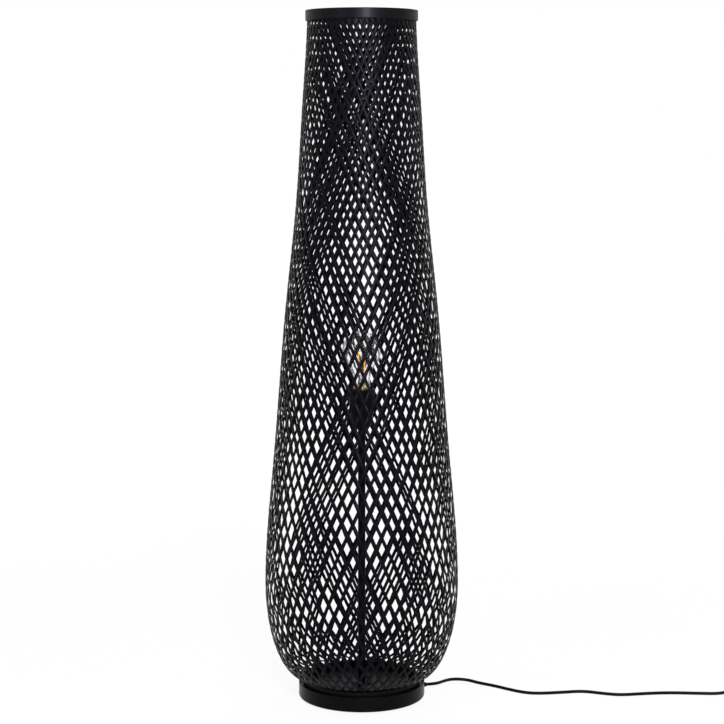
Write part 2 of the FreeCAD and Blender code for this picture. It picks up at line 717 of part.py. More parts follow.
def make_lampholder():
    turned(
        "holder_cap",
        [
            ("thread_radius + fit_gap", "holder_bottom"),
            ("cap_base_radius", "holder_bottom"),
            ("cap_waist_radius", "holder_bottom + cap_waist_height"),
            ("cap_top_radius", "cap_top"),
            ("spigot_radius", "cap_top"),
            ("spigot_radius", "spigot_top"),
            ("spigot_radius - cap_wall", "spigot_top"),
            ("spigot_radius - cap_wall", "core_bottom"),
            ("cap_waist_radius - cap_wall", "cap_inside"),
            ("thread_radius + fit_gap", "cap_inside"),
        ],
        [
            ("cap_waist_height * 0.5", "cap_base_radius", "holder_bottom"),
            ("cap_waist_height", "cap_waist_radius", "holder_bottom + cap_waist_height"),
        ],
    )
    turned(
        "holder_skirt",
        [
            ("spigot_radius + fit_gap", "cap_top"),
            ("cap_top_radius", "cap_top"),
            ("skirt_top_radius", "skirt_top"),
            ("mouth_radius", "skirt_top"),
            ("mouth_radius", "skirt_top - lip_height"),
            ("skirt_top_radius - skirt_wall", "skirt_top - lip_height"),
            ("spigot_radius + fit_gap", "spigot_top"),
        ],
        [
            ("lip_height * 0.5", "skirt_top_radius", "skirt_top"),
            ("lip_height * 0.3", "mouth_radius", "skirt_top"),
        ],
    )
    core = turned(
        "holder_core",
        [
            ("0", "core_bottom"),
            ("spigot_radius - cap_wall - fit_gap", "core_bottom"),
            ("spigot_radius - cap_wall - fit_gap", "spigot_top"),
            ("spigot_radius", "spigot_top"),
            ("spigot_radius", "core_top"),
            ("0", "core_top"),
        ],
    )
    wells = circle_sketch(
        core,
        "terminal_circles",
        "XY_Plane",
        [(place, "0", "terminal_radius + fit_gap") for place in ("terminal_ring", "-terminal_ring")],
    )
    pocket(core, "terminal_wells", wells, "core_bottom + terminal_depth", True)

    turned(
        "screw_shell",
        [
            ("shell_radius - shell_ledge", "core_top"),
            ("shell_radius", "core_top"),
            ("shell_radius", "core_top + shell_height"),
            ("shell_radius - shell_wall", "core_top + shell_height"),
            ("shell_radius - shell_wall", "core_top + shell_wall"),
            ("shell_radius - shell_ledge", "core_top + shell_wall"),
        ],
    )
    turned(
        "centre_contact",
        [
            ("0", "core_top"),
            ("contact_radius", "core_top"),
            ("contact_radius", "core_top + contact_sheet"),
            ("contact_top_radius", "contact_top"),
            ("0", "contact_top"),
        ],
    )
    turned_screw = turned(
        "terminal_screw",
        [
            ("0", "terminal_low"),
            ("terminal_radius", "terminal_low"),
            ("terminal_radius", "terminal_low + terminal_head"),
            ("terminal_shank", "terminal_low + terminal_head"),
            ("terminal_shank", "core_bottom + terminal_depth - fit_gap"),
            ("0", "core_bottom + terminal_depth - fit_gap"),
        ],
        [("terminal_head / 3", "terminal_radius", "terminal_low")],
    )
    nodes.remove(turned_screw)
    move(turned_screw, x="terminal_ring")
    doc.recompute()
    two_screws = [turned_screw.Shape.copy(), turned_screw.Shape.copy()]
    two_screws[1].rotate(Vector(0, 0, 0), AXIS_Z, 180)
    solid_of("terminal_screws", Part.makeCompound(two_screws))


# --- Bulb ---


def glass_outline(wall):
    """Right half of the bulb's outline, set in from its outside by a wall."""
    radius = size("bulb_radius") - wall
    neck = size("bulb_neck_radius") - wall
    top = size("bulb_top") - wall
    middle = size("bulb_top") - size("bulb_radius")
    neck_top = size("bulb_cap_top") + size("bulb_neck_length")
    # The hollow arc of the shoulder touches the upright neck and the round top. Its radius follows
    # from (neck + hollow)^2 + rise^2 = (radius + hollow)^2.
    rise = middle - neck_top
    hollow = (neck * neck + rise * rise - radius * radius) / (2 * (radius - neck))
    centre = Vector(neck + hollow, 0, neck_top)
    reach = math.hypot(centre.x, rise)
    touch = Vector(centre.x * radius / reach, 0, middle - rise * radius / reach)
    half_turn = math.atan2(rise, centre.x) / 2
    shoulder = centre + Vector(-hollow * math.cos(half_turn), 0, hollow * math.sin(half_turn))
    low = math.atan2(touch.z - middle, touch.x)
    halfway = (low + math.pi / 2) / 2
    dome = Vector(radius * math.cos(halfway), 0, middle + radius * math.sin(halfway))
    neck_bottom = Vector(neck, 0, size("bulb_cap_top") - 4)
    return [
        Part.LineSegment(neck_bottom, Vector(neck, 0, neck_top)),
        Part.Arc(Vector(neck, 0, neck_top), shoulder, touch),
        Part.Arc(touch, dome, Vector(0, 0, top)),
    ]


def make_bulb():
    outside = glass_outline(0)
    inside = glass_outline(size("glass_wall"))
    axis_line = Part.LineSegment(inside[-1].EndPoint, outside[-1].EndPoint)
    foot_line = Part.LineSegment(inside[0].StartPoint, outside[0].StartPoint)
    edges = [item.toShape() for item in outside + inside + [axis_line, foot_line]]
    wall = Part.Face(Part.Wire(Part.__sortEdges__(edges)))
    solid_of("bulb_glass", wall.revolve(Vector(0, 0, 0), AXIS_Z, 360))

    bottom = "bulb_tip + cap_bottom"
    collar = "bulb_cap_top - cap_collar"
    shoulder = "bulb_cap_radius - cap_shoulder"
    turned(
        "bulb_cap",
        [
            (shoulder, bottom),
            ("bulb_cap_radius", bottom + " + cap_shoulder_rise"),
            ("bulb_cap_radius", collar + " - cap_collar_taper"),
            ("bulb_neck_radius + fit_gap + cap_metal", collar),
            ("bulb_neck_radius + fit_gap + cap_metal", "bulb_cap_top"),
            ("bulb_neck_radius + fit_gap", "bulb_cap_top"),
            ("bulb_neck_radius + fit_gap", collar + " + cap_metal"),
            ("bulb_cap_radius - cap_metal", collar + " - cap_collar_taper + cap_metal"),
            ("bulb_cap_radius - cap_metal", bottom + " + cap_shoulder_rise + cap_metal"),
            (shoulder + " - cap_metal", bottom + " + cap_metal"),
        ],
    )
    turned(
        "bulb_insulator",
        [
            ("0", "bulb_tip + tip_height"),
            ("tip_rim_radius", "bulb_tip + tip_height"),
            (shoulder + " - cap_metal - fit_gap", "bulb_tip + insulator_height"),
            (shoulder + " - cap_metal - fit_gap", "bulb_tip + insulator_height + insulator_edge"),
            ("0", "bulb_tip + insulator_height + insulator_edge"),
        ],
    )
    turned(
        "bulb_contact",
        [
            ("0", "bulb_tip"),
            ("tip_radius", "bulb_tip"),
            ("tip_rim_radius", "bulb_tip + tip_height"),
            ("0", "bulb_tip + tip_height"),
        ],
    )
    turned(
        "bulb_stem",
        [
            ("0", collar),
            ("bulb_neck_radius - glass_wall - fit_gap", collar),
            ("bulb_neck_radius - glass_wall - fit_gap", collar + " + glass_wall"),
            ("stem_radius", collar + " + stem_flare"),
            ("stem_top_radius", "stem_top"),
            ("0", "stem_top"),
        ],
        [("stem_top_radius * 0.6", "stem_top_radius", "stem_top")],
    )
    stem_top = size("stem_top")
    low = size("filament_bottom")
    high = low + size("filament_length")
    wire = size("wire_radius")
    weld = size("weld_gap")
    rise = size("wire_rise")
    ring = size("filament_ring")
    count = int(size("filament_count"))
    post_top = Vector(0, 0, high + rise)
    post = Part.makeCylinder(wire * 1.4, high + rise - stem_top, Vector(0, 0, stem_top), AXIS_Z)
    arms = []
    rods = []
    for index in range(count):
        angle = 2 * math.pi * (index + 0.5) / count
        out = Vector(math.cos(angle), math.sin(angle), 0)
        # The rods stand a little closer together at their feet.
        foot = out * (ring * 0.8) + Vector(0, 0, low)
        head = out * ring + Vector(0, 0, high)
        span = head - foot
        rods.append(Part.makeCylinder(size("filament_radius"), span.Length, foot, span))
        way = span.normalize()
        for start, end in (
            (Vector(0, 0, stem_top + wire), foot - way * weld),
            (post_top, head + way * weld),
        ):
            arm = end - start
            arms.append(Part.makeCylinder(wire, arm.Length, start, arm))
    solid_of("filaments", Part.makeCompound(rods))
    solid_of("filament_posts", post.multiFuse(arms))
    driver = padded("bulb_driver", rectangle("driver_width / 2", "driver_board / 2"), "driver_height")
    move(driver, z=bottom + " + cap_shoulder_rise + cap_metal")
    doc.recompute()


# --- Shade ---


def shade_line():
    """Middle of the weave, as (radius, height, outward normal) in small steps from foot to top.

    Upright in the bottom hoop, a quarter circle over its edge, a quarter ellipse out to the bulge,
    then a long curve that leans in to the top hoop.
    """
    foot = size("foot_line")
    bend = size("foot_bend")
    start = size("cover_top + strip_corner")
    bend_start = size("foot_bend_start")
    bulge = size("bulge_radius - stack_half")
    bulge_z = size("bulge_height")
    top = size("top_line")
    top_z = size("total_height - strip_corner")
    line = []
    for step in range(12):
        line.append((foot, start + (bend_start - start) * step / 12))
    for step in range(24):
        angle = math.pi / 2 * step / 24
        line.append((foot + bend * (1 - math.cos(angle)), bend_start + bend * math.sin(angle)))
    across = bulge - foot - bend
    rise = bulge_z - bend_start - bend
    for step in range(160):
        # Steps are even in the ellipse's own angle.
        angle = math.pi / 2 * step / 160
        line.append((foot + bend + across * math.sin(angle), bulge_z - rise * math.cos(angle)))
    # The shares of the way up and of the way in, from the bulge to the top hoop.
    shares = ((0, 1), (0.235, 0.79), (0.503, 0.504), (0.682, 0.264), (0.861, 0.109), (1, 0))
    hoop_z = size("top_hoop_bottom")
    knots = [Vector(top + (bulge - top) * wide, 0, bulge_z + (hoop_z - bulge_z) * high) for high, wide in shares]
    neck = Part.BSplineCurve()
    neck.interpolate(Points=knots, InitialTangent=Vector(0, 0, 1), FinalTangent=Vector(-0.03, 0, 1), Scale=True)
    for step in range(400):
        point = neck.value(neck.FirstParameter + (neck.LastParameter - neck.FirstParameter) * step / 400)
        line.append((point.x, point.z))
    for step in range(13):
        line.append((top, hoop_z + (top_z - hoop_z) * step / 12))
    return line


def strip_frames():
    """Points along one strip: radius, height, normal (radial, up), turn round the axis and lean."""
    line = shade_line()
    spacing = 2 * math.pi / size("strip_count")
    reach = size("lean_reach")
    extra = size("lean_extra")
    base = size("foot_hoop_top")
    turns = [0.0]
    slopes = []
    for index, (radius, height) in enumerate(line):
        slopes.append(1 + extra * math.exp(-max(height - base, 0) / reach))
        if index:
            before = line[index - 1]
            length = math.hypot(radius - before[0], height - before[1])
            middle = (radius + before[0]) / 2
            turns.append(turns[-1] + length * (slopes[-1] + slopes[-2]) / 2 / middle)
    low = nearest(line, size("foot_hoop_middle"))
    high = nearest(line, size("top_hoop_middle"))
    lean = size("turn_steps") * spacing / (turns[high] - turns[low])
    frames = []
    for index, (radius, height) in enumerate(line):
        before = line[max(index - 1, 0)]
        after = line[min(index + 1, len(line) - 1)]
        length = math.hypot(after[0] - before[0], after[1] - before[1])
        rise = (after[1] - before[1]) / length
        run = (after[0] - before[0]) / length
        turn_angle = (turns[index] - turns[high]) * lean
        frames.append((radius, height, rise, -run, turn_angle, math.atan(lean * slopes[index])))
    return frames


def nearest(line, height):
    return min(range(len(line)), key=lambda index: abs(line[index][1] - height))


def strip_solid(frames, bend_end, offset, hand):
    """One strip: long faces between its four corner curves, closed by two flat ends.

    The faces are in two stretches, up to the frame at bend_end and beyond it. offset is the strip's
    middle along the surface normal, and hand is +1 or -1 for its lean.
    """
    half_width = size("strip_width") / 2
    half_thick = size("strip_thickness") / 2
    first_angle = math.radians(size("shade_turn")) + math.pi / size("strip_count")
    corners = [[], [], [], []]
    for radius, height, normal_out, normal_up, turned_by, lean in frames:
        angle = first_angle + hand * turned_by
        out = Vector(math.cos(angle), math.sin(angle), 0)
        around = Vector(-math.sin(angle), math.cos(angle), 0) * hand
        normal = out * normal_out + AXIS_Z * normal_up
        up = AXIS_Z * normal_out - out * normal_up
        side = around * math.cos(lean) - up * math.sin(lean)
        middle = out * radius + AXIS_Z * height
        for corner, (wide, thick) in zip(corners, ((-1, -1), (1, -1), (1, 1), (-1, 1))):
            corner.append(middle + side * (wide * half_width) + normal * (offset + thick * half_thick))
    spans = [0.0]
    for start, end in zip(corners[0], corners[0][1:]):
        spans.append(spans[-1] + (end - start).Length)
    faces = []
    for low, high in ((0, bend_end), (bend_end, len(frames) - 1)):
        curves = []
        for corner in corners:
            curve = Part.BSplineCurve()
            curve.interpolate(Points=corner, Parameters=spans)
            curve.segment(spans[low], spans[high])
            curves.append(curve)
        for one, other in zip(curves, curves[1:] + curves[:1]):
            surface = Part.BSplineSurface()
            poles = [one.getPoles(), other.getPoles()]
            repeats = one.getMultiplicities()
            surface.buildFromPolesMultsKnots(
                poles, [2, 2], repeats, [0, 1], one.getKnots(), False, False, 1, one.Degree
            )
            faces.append(surface.toShape())
    for end in (0, -1):
        ends = [corner[end] for corner in corners]
        faces.append(Part.Face(Part.makePolygon(ends + ends[:1])))
    shell = Part.makeShell(faces)
    shell.sewShape()
    solid = Part.makeSolid(shell)
    if solid.Volume < 0:
        solid.reverse()
    return solid


def make_weave():
    frames = strip_frames()
    # Few places on the straight stretches, and more where the strip bends over the bottom hoop.
    chosen = [0, 5, 9, 11, 12, 13, 15, 18, 21, 24, 28, 32, 36, 42, 52, 68, 88, 112, 140, 168]
    chosen += list(range(200, 596, 22)) + [len(frames) - 13, len(frames) - 7, len(frames) - 1]
    places = [frames[index] for index in chosen]
    bend_end = chosen.index(42)
    middle = size("(strip_thickness + layer_gap) / 2")
    for label, offset, hand in (("weave_strips_left", -middle, 1), ("weave_strips_right", middle, -1)):
        strip = strip_solid(places, bend_end, offset, hand)
        print(label, "one strip", round(strip.Volume, 1), "mm3", strip.isValid())
        ring_of(label, strip, "strip_count")


def make_hoops():
    hoops = (
        ("top", "top_hoop_radius", "top_inner_radius", "top_hoop_bottom", "total_height", "top_hoop_middle"),
        ("bottom", "foot_hoop_radius", "foot_inner_radius", "cover_top", "foot_hoop_top", "foot_hoop_middle"),
    )
    for place, outside, inside, low, high, middle in hoops:
        for layer, radius in (("outer", outside), ("inner", inside)):
            label = f"{place}_hoop_{layer}"
            inner_edge = radius + " - hoop_wall"
            rounds = [("hoop_round", edge, height) for edge in (radius, inner_edge) for height in (low, high)]
            hoop = turned(label, ring_outline(inner_edge, radius, low, high), rounds)
            tack_hole = [("0", middle, "tack_radius + fit_gap")]
            hole = circle_sketch(hoop, label + "_circle", "YZ_Plane", tack_hole)
            cut = pocket(hoop, label + "_hole", hole, radius + " + 1", True)
            repeat(hoop, label + "_holes", cut, "tack_count")
            turn(hoop, AXIS_Z, "shade_turn")
        tack = turned(
            place + "_tack",
            [
                ("0", inside + " - hoop_wall + tack_inset"),
                ("tack_radius", inside + " - hoop_wall + tack_inset"),
                ("tack_radius", outside + " + fit_gap"),
                ("tack_head_radius", outside + " + fit_gap"),
                ("tack_head_radius", outside + " + fit_gap + tack_head_height * 0.4"),
                ("tack_radius", outside + " + fit_gap + tack_head_height"),
                ("0", outside + " + fit_gap + tack_head_height"),
            ],
        )
        nodes.remove(tack)
        tack.Placement = Placement(Vector(0, 0, size(middle)), Rotation(AXIS_Z, Vector(1, 0, 0)))
        doc.recompute()
        ring_of(place + "_hoop_tacks", tack.Shape, "tack_count", size("shade_turn"))


# --- Cord ---

# The route from the outlet to the switch, then on to the coil and to the plug. It lies on the floor,
# and the places where it leaves or meets another piece are worked out from that piece.
RUN_POINTS = [
    (125.5, 38.5, 9.7),
    (133.9, 50.9, 8.8),
    (146.2, 66.7, 7.6),
    (161.6, 73.9, 6.1),
    (178.5, 72.1, 4.7),
    (192.1, 61.9, 3.5),
    (219, 46.5, 2.7),
    (241, 27, 2.7),
    (261, 11, 2.7),
    (284, 3, 2.7),
    (325, 9, 2.7),
    (362, 17, 2.7),
    (394, 3, 2.7),
    (421, -5, 2.7),
    (456, 2, 2.7),
    (500, 8, 2.7),
    (548, 4, 2.7),
    (584, -2, 3.9),
]
SWITCH_MIDDLE = (646, 0)
COIL_MIDDLE_X = 775
LINK_POINTS = [(706, -0.5, 4.7), (728, 0.6, 3.85)]
STRAIGHT_END = 12
TAIL_DROP = 18


def rounded_path(points):
    """Straight runs joined by arcs, each as large as its shorter run allows."""
    edges = []
    radii = []
    last = points[0]
    for before, corner, after in zip(points, points[1:], points[2:]):
        back = before - corner
        ahead = after - corner
        shorter = min(back.Length, ahead.Length)
        back.normalize()
        ahead.normalize()
        half_turn = (math.pi - back.getAngle(ahead)) / 2
        inset = 0.45 * shorter
        radius = inset / math.tan(half_turn)
        start = corner + back * inset
        end = corner + ahead * inset
        bisector = (back + ahead).normalize()
        middle = corner + bisector * (radius / math.cos(half_turn) - radius)
        edges.append(Part.LineSegment(last, start).toShape())
        edges.append(Part.Arc(start, middle, end).toShape())
        radii.append(round(radius, 1))
        last = end
    edges.append(Part.LineSegment(last, points[-1]).toShape())
    return Part.Wire(edges), radii


def cord_tube(label, points):
    path, radii = rounded_path([Vector(*point) for point in points])
    start = Vector(*points[0])
    ring = Part.Wire(Part.Circle(start, Vector(*points[1]) - start, size("cord_radius")).toShape())
    tube = path.makePipeShell([ring], True, False)
    expected = math.pi * size("cord_radius") ** 2 * path.Length
    print(label, "length", round(path.Length, 1), "radii", radii, "volume share", round(tube.Volume / expected, 5))
    solid_of(label, tube)


def biarc(start, start_way, end, end_way):
    """Two tangent arcs from start to end, leaving and arriving along the two unit ways."""
    between = end - start
    ways = start_way + end_way
    slack = 2 * (1 - start_way.dot(end_way))
    lead = between.dot(ways)
    reach = (-lead + math.sqrt(lead * lead + slack * between.dot(between))) / slack
    joint = (start + end + (start_way - end_way) * reach) * 0.5
    arcs = []
    for point, way, other in ((start, start_way, joint), (joint, None, end)):
        if way is None:
            way = (joint - (start + start_way * reach)).normalize()
        chord = other - point
        # The arc's middle lies on the chord's bisector, on the side that the leaving way shows.
        straight = Vector(chord).normalize()
        bend = (way - straight * way.dot(straight)).normalize()
        half_angle = math.acos(max(-1.0, min(1.0, way.dot(straight))))
        height = chord.Length / 2 * math.tan(half_angle / 2)
        middle = point + chord * 0.5 + bend * height
        arcs.append(Part.Arc(point, middle, other))
    return arcs


def coil_stops():
    """Places of the coil's path at each half turn: in along the floor, up, and out again on top."""
    outer = size("coil_outer")
    pitch = size("coil_pitch")
    turns = size("layer_turns")
    low = size("coil_low")
    high = size("coil_high")
    halves = int(round(2 * turns))
    stops = []
    for half in range(halves + 1):
        stops.append((outer - pitch * half / 2, low))
    for half in range(halves + 1):
        stops.append((outer - pitch * (halves - half) / 2, high))
    centre = Vector(COIL_MIDDLE_X, outer, 0)
    places = []
    for half, (radius, height) in enumerate(stops):
        way = 1 if half % 2 == 0 else -1
        places.append((centre + Vector(0, -way * radius, height), Vector(way, 0, 0)))
    return places


def make_coil():
    places = coil_stops()
    lead = 2 * size("cord_radius")
    first, first_way = places[0]
    last, last_way = places[-1]
    edges = [Part.LineSegment(first - first_way * lead, first).toShape()]
    for (start, start_way), (end, end_way) in zip(places, places[1:]):
        edges += [arc.toShape() for arc in biarc(start, start_way, end, end_way)]
    edges.append(Part.LineSegment(last, last + last_way * lead).toShape())
    path = Part.Wire(edges)
    ring = Part.Wire(Part.Circle(first - first_way * lead, first_way, size("cord_radius")).toShape())
    coil = path.makePipeShell([ring], True, False)
    expected = math.pi * size("cord_radius") ** 2 * path.Length
    print("cord_coil length", round(path.Length, 1), "volume share", round(coil.Volume / expected, 5))
    print("cord_coil least gap to itself", round(least_gap(path), 2))
    solid_of("cord_coil", coil)


def least_gap(path):
    """Smallest distance between the surfaces of two stretches of the coil, measured on points."""
    step = 2.0
    points = path.discretize(Distance=step)
    skip = int(4 * 2 * size("cord_radius") / step)
    gap = float("inf")
    for index, point in enumerate(points):
        for other in points[index + skip :]:
            gap = min(gap, (point - other).Length)
    return gap - 2 * size("cord_radius")


def make_tie():
    """Strap round the coil's turns, at its far side."""
    thick = size("tie_thickness")
    ease = size("tie_ease")
    cord = size("cord_radius")
    outer = size("coil_outer")
    inner = outer - size("coil_pitch * layer_turns")
    middle_y = outer
    half = size("tie_width") / 2
    in_x = math.sqrt(max((inner - cord) ** 2 - half**2, 0)) - ease
    out_x = outer + cord + ease
    low = size("coil_low") - cord - ease
    high = size("coil_high") + cord + ease
    shift = COIL_MIDDLE_X

    def slab(grow):
        box = Part.makeBox(
            out_x - in_x + 2 * grow,
            2 * half,
            high - low + 2 * grow,
            Vector(shift + in_x - grow, middle_y - half, low - grow),
        )
        along = [edge for edge in box.Edges if abs(edge.tangentAt(0).y) > 0.99]
        return box.makeFillet(1.5 + grow, along)

    solid_of("coil_tie", slab(thick).cut(slab(0)))


def make_cord():
    angle = math.radians(size("outlet_angle"))
    reach = size("outlet_start")
    start = (reach * math.cos(angle), reach * math.sin(angle), size("outlet_height"))
    step = reach + 10.5
    second = (step * math.cos(angle), step * math.sin(angle), size("outlet_height"))
    middle_x, middle_y = SWITCH_MIDDLE
    level = size("switch_middle")
    entry = (middle_x - size("switch_length") / 2, middle_y, level)
    leave = (middle_x + size("switch_length") / 2, middle_y, level)
    places = coil_stops()
    lead = 2 * size("cord_radius")
    coil_in = places[0][0] - places[0][1] * lead
    coil_out = places[-1][0] + places[-1][1] * lead
    # Each end runs straight into what it meets.
    before_switch = (entry[0] - STRAIGHT_END, middle_y, level)
    past_switch = (leave[0] + STRAIGHT_END, middle_y, level)
    before_coil = (coil_in.x - STRAIGHT_END, coil_in.y, coil_in.z)
    past_coil = (coil_out.x - STRAIGHT_END, coil_out.y, coil_out.z)
    plug_x = past_coil[0] - TAIL_DROP - STRAIGHT_END
    before_plug = (plug_x + STRAIGHT_END, coil_out.y, size("plug_middle"))
    cord_tube("cord_run", [start, second] + RUN_POINTS + [before_switch, entry])
    cord_tube("cord_link", [leave, past_switch] + LINK_POINTS + [before_coil, tuple(coil_in)])
    cord_tube("cord_tail", [tuple(coil_out), past_coil, before_plug, (plug_x, coil_out.y, size("plug_middle"))])
    make_coil()
    make_tie()
    return plug_x, coil_out.y


# --- Switch on the cord ---


def make_switch():
    half_length = "switch_length / 2"
    half_width = "switch_width / 2"
    middle_x, middle_y = (str(place) for place in SWITCH_MIDDLE)
    screw_x = "switch_length / 2 - switch_screw_inset"
    screw_y = "switch_width / 2 - switch_screw_inset"
    screws = [(screw_x, screw_y), ("-(%s)" % screw_x, "-(%s)" % screw_y)]
    inside = rectangle("switch_length / 2 - switch_wall - switch_end", "switch_width / 2 - switch_wall")
    base = padded("switch_base", rectangle(half_length, half_width), "switch_height / 2", "switch_round")
    cover = padded("switch_cover", rectangle(half_length, half_width), "switch_height / 2", "switch_round")

    hollow = outline_sketch(base, "base_hollow", "XY_Plane", inside)
    lift(hollow, "switch_wall")
    pocket(base, "base_cavity", hollow, "switch_height", True)
    hollow = outline_sketch(cover, "cover_hollow", "XY_Plane", inside)
    pocket(cover, "cover_cavity", hollow, "switch_height / 2 - switch_wall", True)
    window = outline_sketch(
        cover,
        "cover_window",
        "XY_Plane",
        rectangle("rocker_length / 2 + rocker_gap", "rocker_width / 2 + rocker_gap"),
    )
    pocket(cover, "cover_opening", window, "switch_height", True)
    round_edges(cover, "cover_round", "switch_wall * 0.6", is_outer_rim("switch_height / 2"))
    round_edges(base, "base_round", "switch_wall * 0.4", is_outer_rim("0"))

    # A groove in each half holds the cord at both ends.
    halves = (
        (base, "switch_height / 2", "switch_height / 2"),
        (cover, "0", "switch_height / 2 - switch_wall"),
    )
    for body, height, hole_depth in halves:
        name = body.Label
        groove = circle_sketch(body, name + "_groove", "YZ_Plane", [("0", height, "cord_radius + fit_gap")])
        lift(groove, "-switch_length / 2 - 1")
        pocket(body, name + "_cord_way", groove, "switch_length + 2", True)
        circles = [(x, y, "switch_screw_radius + fit_gap") for x, y in screws]
        holes = circle_sketch(body, name + "_screw_circles", "XY_Plane", circles)
        pocket(body, name + "_screw_holes", holes, hole_depth, True)
    circles = [(x, y, "switch_head_radius + fit_gap") for x, y in screws]
    recess = circle_sketch(base, "head_circles", "XY_Plane", circles)
    pocket(base, "head_recess", recess, "switch_head_inset + switch_head_height", True)
    axle_ring = circle_sketch(cover, "axle_circle", "XZ_Plane", [("0", "rocker_height", "rocker_axle_radius")])
    lift(axle_ring, "-switch_width / 2 + switch_wall * 0.4")
    pocket(cover, "axle_bore", axle_ring, "switch_width - switch_wall * 0.8", True)
    move(base, x=middle_x, y=middle_y, z="floor_gap")
    move(cover, x=middle_x, y=middle_y, z="switch_middle")

    rocker = doc.addObject("PartDesign::Body", "switch_rocker")
    outline = outline_sketch(
        rocker,
        "rocker_outline",
        "XZ_Plane",
        [
            ("-rocker_length / 2", "0"),
            ("-rocker_length / 6", "-rocker_depth"),
            ("rocker_length / 6", "-rocker_depth"),
            ("rocker_length / 2", "0"),
            ("rocker_length / 2", "rocker_rise"),
            ("0", "rocker_rise - rocker_dip"),
            ("-rocker_length / 2", "rocker_rise"),
        ],
    )
    pad = rocker.newObject("PartDesign::Pad", "rocker_pad")
    pad.Profile = outline
    pad.Midplane = True
    pad.Length = size("rocker_width")
    pad.setExpression("Length", linked("rocker_width"))
    rocker.Tip = pad
    bore = circle_sketch(rocker, "rocker_circle", "XZ_Plane", [("0", "0", "rocker_axle_radius + fit_gap")])
    lift(bore, "-rocker_width")
    pocket(rocker, "rocker_bore", bore, "rocker_width * 2", True)
    round_edges(rocker, "rocker_round", "rocker_dip / 2", is_rocker_top)
    turn(rocker, Vector(0, -1, 0), "rocker_tilt")
    move(rocker, x=middle_x, y=middle_y, z="switch_middle + rocker_height")
    keep(rocker, "switch_rocker")
    axle = rod("switch_axle", "rocker_axle_radius", "switch_width - switch_wall * 0.8", Vector(0, 1, 0))
    move(axle, x=middle_x, y="-switch_width / 2 + switch_wall * 0.4", z="switch_middle + rocker_height")
    keep(axle, "switch_axle")

    leaf = [size(name) for name in ("leaf_length", "leaf_width", "leaf_thickness")]
    leaf_foot = Vector(-leaf[0] / 2, -leaf[1] / 2, size("switch_wall"))
    post_foot = Vector(-leaf[2] / 2, -leaf[1] / 2, size("switch_wall"))
    leaves = []
    for side in (-1, 1):
        shift = Vector(side * size("leaf_middle"), 0, 0)
        plate = Part.makeBox(*leaf, leaf_foot + shift)
        post = Part.makeBox(leaf[2], leaf[1], size("leaf_post"), post_foot + shift)
        leaves.append(plate.fuse(post))
    place_copies("switch_contacts", leaves, Vector(*SWITCH_MIDDLE, size("floor_gap")))
    head_height = size("switch_head_height")
    inset = size("switch_head_inset")
    pair = []
    for x, y in screws:
        foot = Vector(size(x), size(y), inset)
        head = Part.makeCylinder(size("switch_head_radius"), head_height, foot, AXIS_Z)
        shoulder = foot + Vector(0, 0, head_height)
        shank = Part.makeCylinder(size("switch_screw_radius"), size("switch_screw_length"), shoulder, AXIS_Z)
        pair.append(head.fuse(shank))
    place_copies("switch_screws", pair, Vector(*SWITCH_MIDDLE, size("floor_gap")))
    doc.recompute()


def place_copies(label, shapes, shift):
    group = Part.makeCompound(shapes)
    group.translate(shift)
    solid_of(label, group)


def lift(sketch, distance):
    """Move a sketch along its own normal."""
    sketch.AttachmentOffset = Placement(Vector(0, 0, size(distance)), Rotation())
    sketch.setExpression("AttachmentOffset.Base.z", linked(distance))


def is_outer_rim(height):
    """Test for the level edges at a height that run round the outside of the switch."""

    def chosen(edge):
        box = edge.BoundBox
        level = abs(box.ZMin - size(height)) < 1e-6 and abs(box.ZMax - size(height)) < 1e-6
        ends = max(abs(box.XMin), abs(box.XMax)) > size("switch_length / 2 - switch_round") - 1e-6
        sides = max(abs(box.YMin), abs(box.YMax)) > size("switch_width / 2 - switch_round") - 1e-6
        return level and (ends or sides)

    return chosen


def is_rocker_top(edge):
    box = edge.BoundBox
    return box.ZMin > 2.9 and box.YMax - box.YMin > 1


# --- Plug ---


